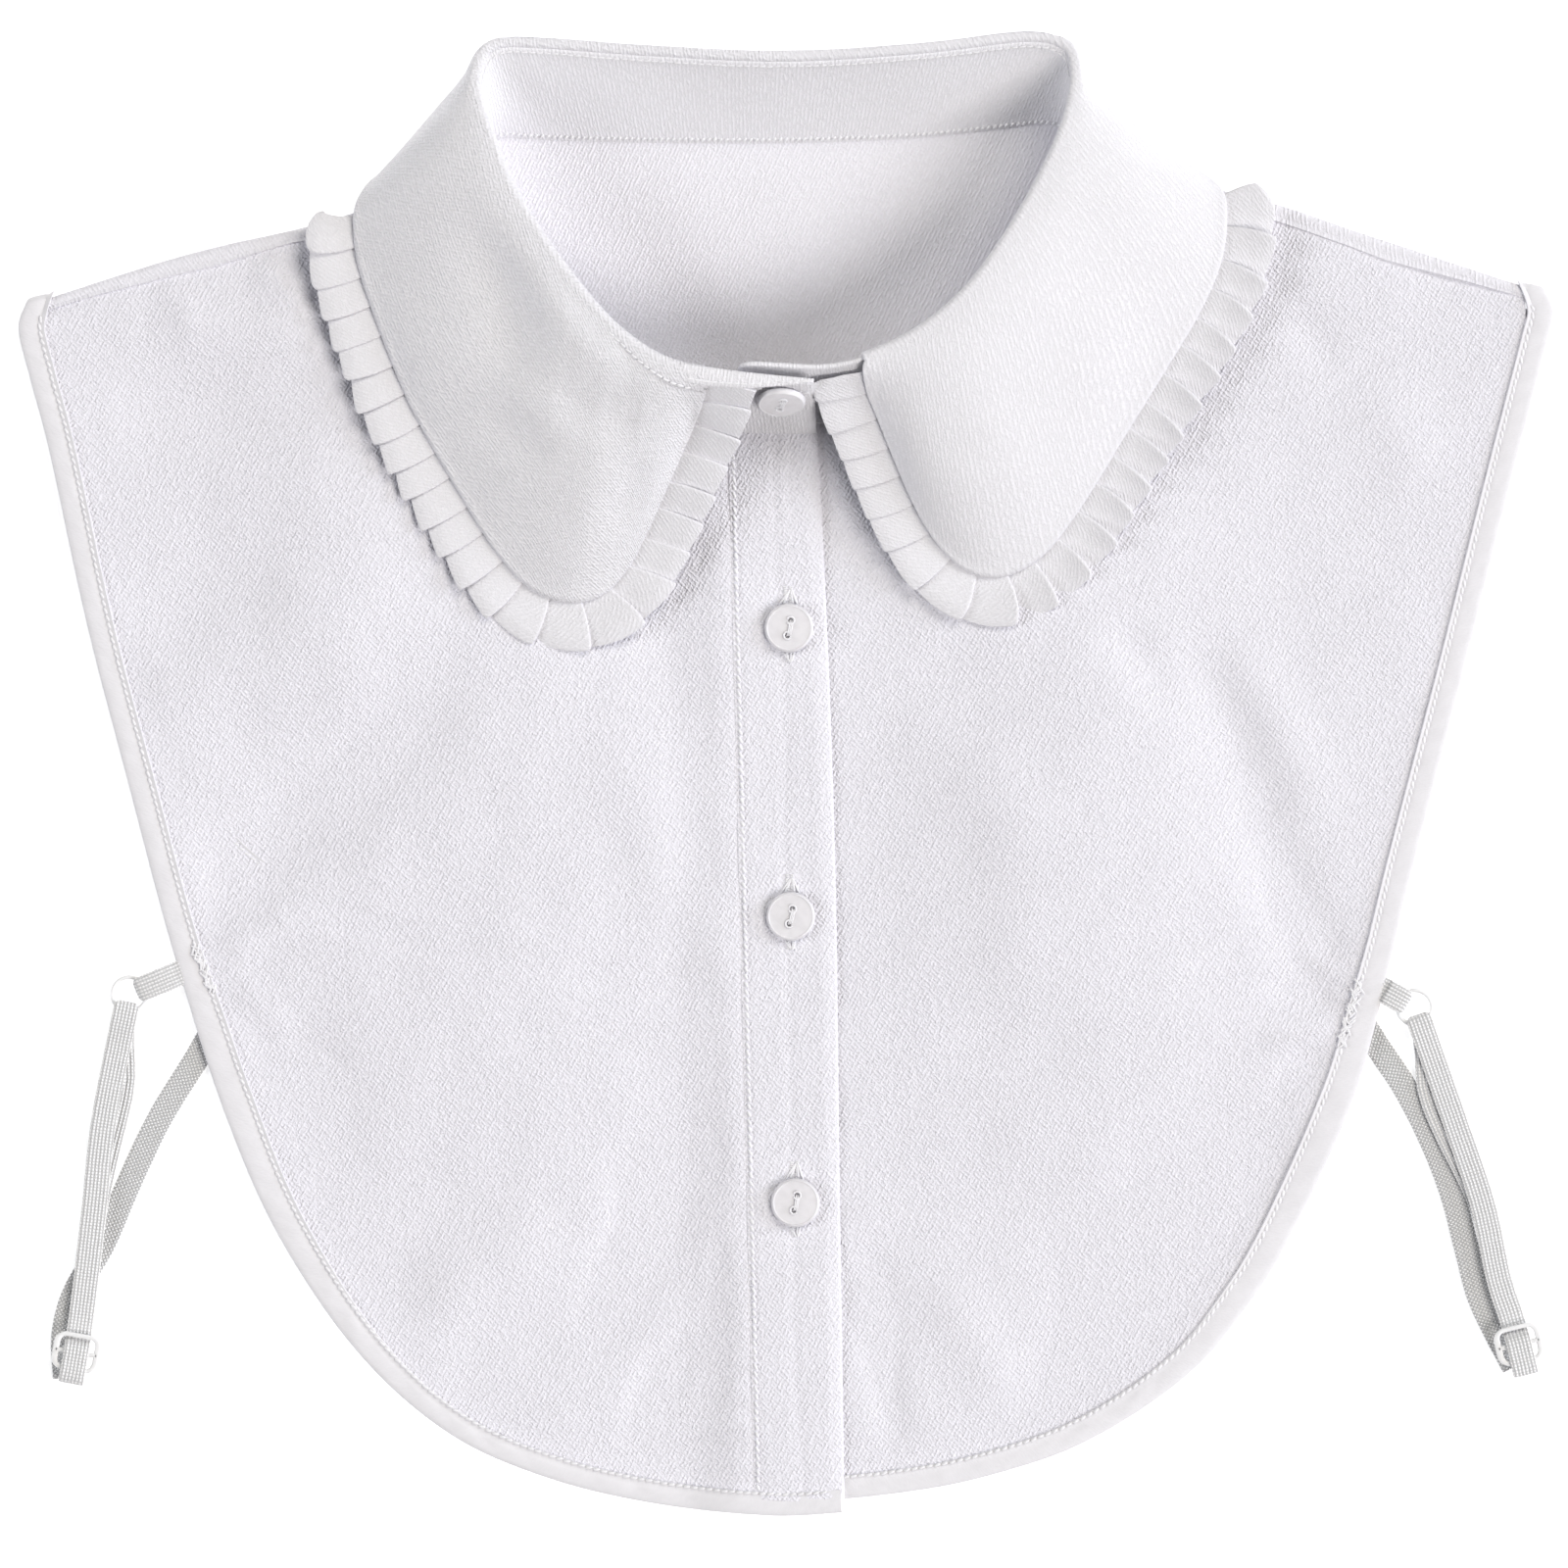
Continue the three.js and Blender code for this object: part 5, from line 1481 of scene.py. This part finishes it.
def object_place(look, stretch=(1, 1, 1)):
    """Places on the object, in mm."""
    place = add_node(look, "TexCoord").outputs["Object"]
    return add_node(look, "Mapping", {"Vector": place, "Scale": tuple(1000 * s for s in stretch)}).outputs[0]


def noise(look, place, size, detail=2.0, roughness=0.5):
    feeds = {"Vector": place, "Scale": 1 / size, "Detail": detail, "Roughness": roughness}
    return add_node(look, "TexNoise", feeds).outputs[0]


def lines(look, place, pitch, wander=1.0, across="X"):
    """Soft parallel lines at a pitch, wandering a little."""
    feeds = {"Vector": place, "Scale": 0.314 / pitch, "Distortion": wander}
    feeds |= {"Detail": 2.0, "Detail Scale": 1.4}
    return add_node(look, "TexWave", feeds, bands_direction=across).outputs["Fac"]


def weighed(look, *parts):
    """The sum of (weight, signal) pairs."""
    total = None
    for weight, signal in parts:
        part = multiplied(look, signal, weight)
        total = part if total is None else add_node(look, "Math", {0: total, 1: part}).outputs[0]
    return total


def shaped(look, signal, low, high, to_low=0.0, to_high=1.0):
    feeds = {"Value": signal, "From Min": low, "From Max": high, "To Min": to_low, "To Max": to_high}
    return add_node(look, "MapRange", feeds, interpolation_type="SMOOTHSTEP").outputs[0]


def feed_shader(look, socket, signal):
    look.node_tree.links.new(signal, look.node_tree.nodes["Principled BSDF"].inputs[socket])


def multiplied(look, one, other):
    return add_node(look, "Math", {0: one, 1: other}, operation="MULTIPLY").outputs[0]


def paint(look, signal, dark, light):
    """Colours the surface between two colours by a signal from 0 to 1."""
    feeds = {0: signal, 6: (*dark, 1), 7: (*light, 1)}
    feed_shader(look, "Base Color", add_node(look, "Mix", feeds, data_type="RGBA").outputs[2])


def emboss(look, height, depth):
    """Raises the surface by a signal from 0 to 1, up to a depth in mm."""
    feeds = {"Height": height, "Strength": 1.0, "Distance": depth * MM}
    feed_shader(look, "Normal", add_node(look, "Bump", feeds).outputs[0])


def roughen(look, signal, low, high):
    feeds = {"Value": signal, "To Min": low, "To Max": high}
    feed_shader(look, "Roughness", add_node(look, "MapRange", feeds).outputs[0])


CREPE_WHITE = (0.870, 0.857, 0.912)
BACK_WHITE = (0.835, 0.823, 0.868)
COLLAR_WHITE = (0.822, 0.812, 0.842)
BAND_WHITE = (0.850, 0.840, 0.870)
BINDING_WHITE = (0.788, 0.777, 0.802)
THREAD_WHITE = (0.900, 0.893, 0.915)
CLOTH_SHADER = {"Sheen Weight": 0.12, "Sheen Roughness": 0.45, "Specular IOR Level": 0.25}


def shade(color, factor):
    return tuple(channel * factor for channel in color)


def crepe_look(name, color, systems, depth, mottle):
    """Matt cloth with a grain of broken lines. Each system has a turn in degrees, pitch, weight and side.

    A side of 1 or -1 keeps a system to the right or the left half of the collar."""
    look = new_look(name, 0.8, CLOTH_SHADER)
    place = cloth_place(look)
    pebbles = shaped(look, noise(look, place, 0.5, 2.0, 0.6), 0.3, 0.7)
    parts = [(0.45, pebbles)]
    for turn, pitch, weight, side in systems:
        turned = math.radians(turn)
        rows = lines(look, cloth_place(look, turned), pitch, 1.6)
        dashes = noise(look, cloth_place(look, turned, (1 / pitch, 0.6 / pitch, 1)), 1.0, 1.0)
        signal = multiplied(look, rows, shaped(look, dashes, 0.35, 0.6))
        if side:
            across = add_node(look, "SeparateXYZ", {0: object_place(look)}).outputs[0]
            here = shaped(look, across, -6.0 * side, 6.0 * side)
            signal = multiplied(look, signal, here)
        parts.append((weight, signal))
    grain = weighed(look, *parts)
    clouds = noise(look, place, 16, 3.0)
    emboss(look, grain, depth)
    tone = weighed(look, (0.88, grain), (0.12, clouds))
    paint(look, shaped(look, tone, 0.2, 0.9), shade(color, 1 - 1.6 * mottle), shade(color, 1 + mottle))
    roughen(look, pebbles, 0.84, 0.72)
    return look


def satin_look(name, color):
    """The smoother binding: fine threads across it, and a soft sheen."""
    look = new_look(name, 0.6, {"Sheen Weight": 0.15, "Sheen Roughness": 0.35, "Specular IOR Level": 0.4})
    fine = noise(look, cloth_place(look, 0.5, (1, 0.3, 1)), 0.4, 2.0, 0.6)
    pulls = noise(look, cloth_place(look, 0.9, (1, 0.35, 1)), 2.6, 2.0)
    emboss(look, weighed(look, (0.35, fine), (0.9, pulls)), 0.16)
    tone = weighed(look, (0.4, fine), (0.6, pulls))
    paint(look, shaped(look, tone, 0.3, 0.7), shade(color, 0.97), shade(color, 1.02))
    roughen(look, fine, 0.66, 0.52)
    return look


def thread_look():
    look = new_look("sewing_thread", 0.6, {"Sheen Weight": 0.2, "Specular IOR Level": 0.4})
    twist = noise(look, object_place(look, (1, 1, 0.4)), 0.22, 2.0)
    emboss(look, twist, 0.08)
    paint(look, shaped(look, twist, 0.3, 0.7), shade(THREAD_WHITE, 0.93), THREAD_WHITE)
    roughen(look, twist, 0.7, 0.5)
    return look


def elastic_look(name, color, dark, net):
    """Knitted elastic: rows of stitches across it, and on its reverse an open net of threads, with painted
    shade in their hollows.
    """
    look = new_look(name, 0.75, {"Sheen Weight": 0.1, "Specular IOR Level": 0.3})
    place = cloth_place(look)
    fuzz = noise(look, cloth_place(look, 0, (1, 1.6, 1)), 0.35, 2.0, 0.6)
    if net:
        slanted = [lines(look, cloth_place(look, turn), 0.72, 0.5) for turn in (0.72, -0.72)]
        knit = multiplied(look, *slanted)
    else:
        ribs = lines(look, place, ELASTIC_WIDTH / RIBS, 0.9, "Y")
        rows = shaped(look, lines(look, place, 0.75, 1.4), 0.0, 0.6, 0.25, 1.0)
        knit = multiplied(look, ribs, rows)
    height = weighed(look, (0.8, knit), (0.25, fuzz))
    emboss(look, height, 0.3)
    # Painted shade: the lower the knit lies, the nearer its colour comes to the dark one.
    paint(look, shaped(look, height, 0.1, 0.55), dark, color)
    roughen(look, fuzz, 0.82, 0.68)
    return look


def plastic_look(name, color, roughness, constants):
    """Moulded plastic, with faint clouds in it and a slightly uneven polish."""
    look = new_look(name, roughness, constants)
    clouds = noise(look, object_place(look), 1.9, 3.0)
    fine = noise(look, object_place(look), 0.35, 2.0)
    paint(look, shaped(look, clouds, 0.3, 0.7), shade(color, 0.96), shade(color, 1.02))
    emboss(look, fine, 0.012)
    roughen(look, weighed(look, (0.6, clouds), (0.4, fine)), roughness * 0.8, roughness * 1.35)
    return look


crepe = crepe_look("crepe_cloth", CREPE_WHITE, [(28, 0.95, 0.6, 0), (-46, 0.85, 0.5, 0)], 0.26, 0.034)
back_crepe = crepe_look("back_crepe", BACK_WHITE, [(25, 0.9, 0.8, 0), (-50, 0.8, 0.2, 0)], 0.16, 0.03)
collar_cloth = crepe_look(
    "collar_twill",
    COLLAR_WHITE,
    [(-40, 1.08, 0.5, 1), (-14, 0.8, 0.7, -1), (-76, 0.85, 0.6, -1)],
    0.18,
    0.035,
)
band_cloth = crepe_look("band_cloth", BAND_WHITE, [(3, 0.85, 0.7, 0)], 0.16, 0.03)
frill_cloth = crepe_look("frill_cloth", COLLAR_WHITE, [(35, 0.8, 0.5, 0)], 0.16, 0.03)
satin = satin_look("binding_satin", BINDING_WHITE)
sewing_thread = thread_look()
# Each elastic's dark colour is painted shade for the hollows of its knit.
elastic = elastic_look("ribbed_elastic", (0.97, 0.965, 0.965), (0.58, 0.58, 0.585), net=False)
elastic_reverse = elastic_look("elastic_reverse", (0.96, 0.96, 0.96), (0.47, 0.47, 0.475), net=True)
button_plastic = plastic_look("button_plastic", (0.800, 0.785, 0.805), 0.3, {
    "Subsurface Weight": 0.35,
    "Subsurface Scale": 0.0015,
    "Subsurface Radius": (1.0, 1.0, 1.0),
    "Coat Weight": 0.15,
})
ring_plastic = plastic_look("ring_plastic", (0.90, 0.90, 0.905), 0.28, {"Coat Weight": 0.2})
slider_plastic = plastic_look("slider_plastic", (0.88, 0.88, 0.885), 0.32, {"Coat Weight": 0.1})


# ------------------------------------------------------------------ pieces
for row in (
    ("back_cloth", make_back(), back_crepe, "crepe", "back_panel"),
    ("left_front_cloth", make_left_front(), crepe, "crepe", "left_front"),
    ("right_front_cloth", make_right_front(), crepe, "crepe", "right_front"),
    ("placket_cloth", make_placket(), crepe, "crepe", "placket"),
):
    add_piece(*row)


def left_binding_height(x, y):
    return np.where(x > -40, left_front_height(x, y), front_height(x, y))


for name, outline, height, inward, seed in (
    ("left_binding", left_edge, left_binding_height, 1, 41),
    ("right_binding", right_edge, front_height, -1, 43),
    ("back_binding", back_edge, back_height, 1, 47),
):
    tape, stitches = make_binding(outline, height, inward, seed, over_shoulder=name != "back_binding")
    add_piece(f"{name}_tape", tape, satin, "binding", name)
    add_piece(f"{name}_stitches", stitches, sewing_thread, "binding")

add_piece("collar_band_cloth", make_stand(), band_cloth, "collar_cloth", "collar_stand")
add_piece("collar_fall_cloth", make_fall(), collar_cloth, "collar_cloth", "collar_fall")
for name, first, last, seed in zip(("left", "back", "right"), FRILLS["first"], FRILLS["last"], (51, 53, 57)):
    strip = make_frill(first, last, seed)
    add_piece(f"{name}_frill_pleats", strip, frill_cloth, "collar_cloth", f"{name}_frill")

top_row = stand_stitches(1, 26.8, 61, below_top=1.9)
foot_zigzag = stand_stitches(1, 26.5, 63, above_foot=1.7, pitch=1.4, skew=1.1, width=0.62, height=0.8)
end_row = stand_stitches(0.1, 1.3, 67, below_top=4.6, inner=False)
bartacks = Solid()
bartack(bartacks, ((-138.7, -41.0), (-134.8, -51.0)), 71, 26)
bartack(bartacks, ((134.4, -49.5), (130.2, -64.0)), 73, 34)
for row in (
    ("band_top_stitches", top_row, sewing_thread, "collar_cloth"),
    ("band_foot_stitches", foot_zigzag, sewing_thread, "collar_cloth"),
    ("band_end_stitches", end_row, sewing_thread, "collar_cloth"),
    ("collar_band_lip", make_band_lip(), band_cloth, "collar_cloth"),
    ("band_lip_stitches", lip_stitches(), sewing_thread, "collar_cloth"),
    ("leaf_seam_stitches", make_top_seam(), sewing_thread, "collar_cloth"),
    ("placket_stitches", placket_stitches(), sewing_thread, "crepe"),
    ("elastic_bartacks", bartacks, sewing_thread, "binding"),
):
    add_piece(*row)


# ------------------------------------------------------------------ buttons
def add_button(name, place, seed, tilt=0.0):
    """A button and the thread that holds it, at a place in mm, tilted back from the table's plane."""
    button = add_piece(f"{name}_disc", make_button(), button_plastic, "button", name)
    bore(button)
    held = add_piece(f"{name}_thread", button_thread(seed), sewing_thread, "button")
    cos, sin = math.cos(tilt), math.sin(tilt)
    tilted = np.array([[1, 0, 0], [0, cos, sin], [0, -sin, cos]])
    for piece in (button, held):
        points = np.array([v.co for v in piece.data.vertices]) @ tilted
        piece.data.vertices.foreach_set("co", (points + np.array(place) * MM).astype(np.float32).ravel())
        piece.data.update()


holes = Solid()
for k, (x, y) in enumerate(zip(*button_spots.values())):
    z = float(placket_height(x, y)) + PLACKET_CLOTH + BUTTON_LIFT
    add_button(f"placket_button_{k + 1}", (x, y, z), 81 + k)
    buttonhole(holes, (x, y), 91 + k)
add_piece("buttonhole_stitches", holes, sewing_thread, "crepe")

band_face = stand_points(BAND_BUTTON["along"], BAND_BUTTON["up"])
band_rise = stand_points(BAND_BUTTON["along"], 1) - stand_points(BAND_BUTTON["along"], 0)
band_tilt = math.atan2(band_rise[2], band_rise[1])
off_band = np.array([0, -math.sin(band_tilt), math.cos(band_tilt)]) * (STAND_HALF + BUTTON_LIFT)
add_button("band_button", band_face + off_band, 84, band_tilt)

# ------------------------------------------------------------------ straps
for side, strap in STRAPS.items():
    route = path_through(strap["front"], 4)
    shift = strap["return_shift"]
    for name, solid, look, slot in (
        ("strap_front_run", front_run(route), elastic, "elastic"),
        ("strap_return_run", return_run(route, shift), elastic, "elastic"),
        ("strap_back_run", back_run(path_through(strap["back"], 2)), elastic_reverse, "elastic"),
        ("strap_stub", stub(strap["stub_from"], strap["ring"]), elastic, "elastic"),
        ("ring", make_ring(strap["ring"]), ring_plastic, "ring"),
        ("slider", make_slider(route), slider_plastic, "slider"),
    ):
        add_piece(f"{side}_{name}_made", solid, look, slot, f"{side}_{name}")

# ------------------------------------------------------------------ floor, light and camera
FLOOR_HALF = 20.0
floor_mesh = bpy.data.meshes.new("floor")
corners = [(-1, -1), (1, -1), (1, 1), (-1, 1)]
floor_mesh.from_pydata([(x * FLOOR_HALF, y * FLOOR_HALF, -0.0002) for x, y in corners], [], [(0, 1, 2, 3)])
floor = add_object("floor", floor_mesh)
FLOOR_GLOW = 0.5  # a lit table, so that no shadow shows on it
floor_look = new_look("pale_floor", 0.9, {
    "Specular IOR Level": 0.1,
    "Emission Color": (1.0, 1.0, 1.0, 1.0),
    "Emission Strength": FLOOR_GLOW,
})
floor_clouds = noise(floor_look, object_place(floor_look), 40, 2.0)
paint(floor_look, floor_clouds, (0.93, 0.93, 0.93), (0.95, 0.95, 0.95))
floor_mesh.materials.append(floor_look)

# Soft lamps: colour and strength, height above the table in degrees, and turn from +X towards +Y.
LAMPS = {
    "low_right": ((1.18, 1.26, 1.44), 20, 10),
    "front_right": ((1.86, 1.80, 1.76), 45, -40),
    "back_right": ((1.28, 1.24, 1.14), 45, 60),
    "left_fill": ((1.28, 1.30, 1.35), 30, 180),
}
LAMP_SIZE = math.radians(30)
SKY = (1.0, 0.99, 0.98)
SKY_STRENGTH = 0.04

world = bpy.data.worlds.new("studio")
bpy.context.scene.world = world
world.use_nodes = True
sky = world.node_tree.nodes["Background"].inputs
sky["Color"].default_value = (*SKY, 1)
sky["Strength"].default_value = SKY_STRENGTH

for name, (strength, height, turn) in LAMPS.items():
    lamp_data = bpy.data.lights.new(name, "SUN")
    lamp_data.energy = max(strength)
    lamp_data.angle = LAMP_SIZE
    lamp_data.color = shade(strength, 1 / max(strength))
    lamp = add_object(name, lamp_data)
    lamp.rotation_euler = (0, math.radians(90 - height), math.radians(turn))

CAMERA_CENTRE = (-0.575 * MM, -2.576 * MM)
CAMERA_DISTANCE = 6.0
FRAME_WIDTH = 0.368
camera_data = bpy.data.cameras.new("camera")
camera_data.sensor_width = 36
camera_data.lens = camera_data.sensor_width * CAMERA_DISTANCE / FRAME_WIDTH
camera_data.clip_end = 100
camera = add_object("camera", camera_data)
camera.location = (*CAMERA_CENTRE, CAMERA_DISTANCE)
bpy.context.scene.camera = camera
bpy.context.scene.view_settings.view_transform = "Standard"
bpy.context.scene.view_settings.look = "None"
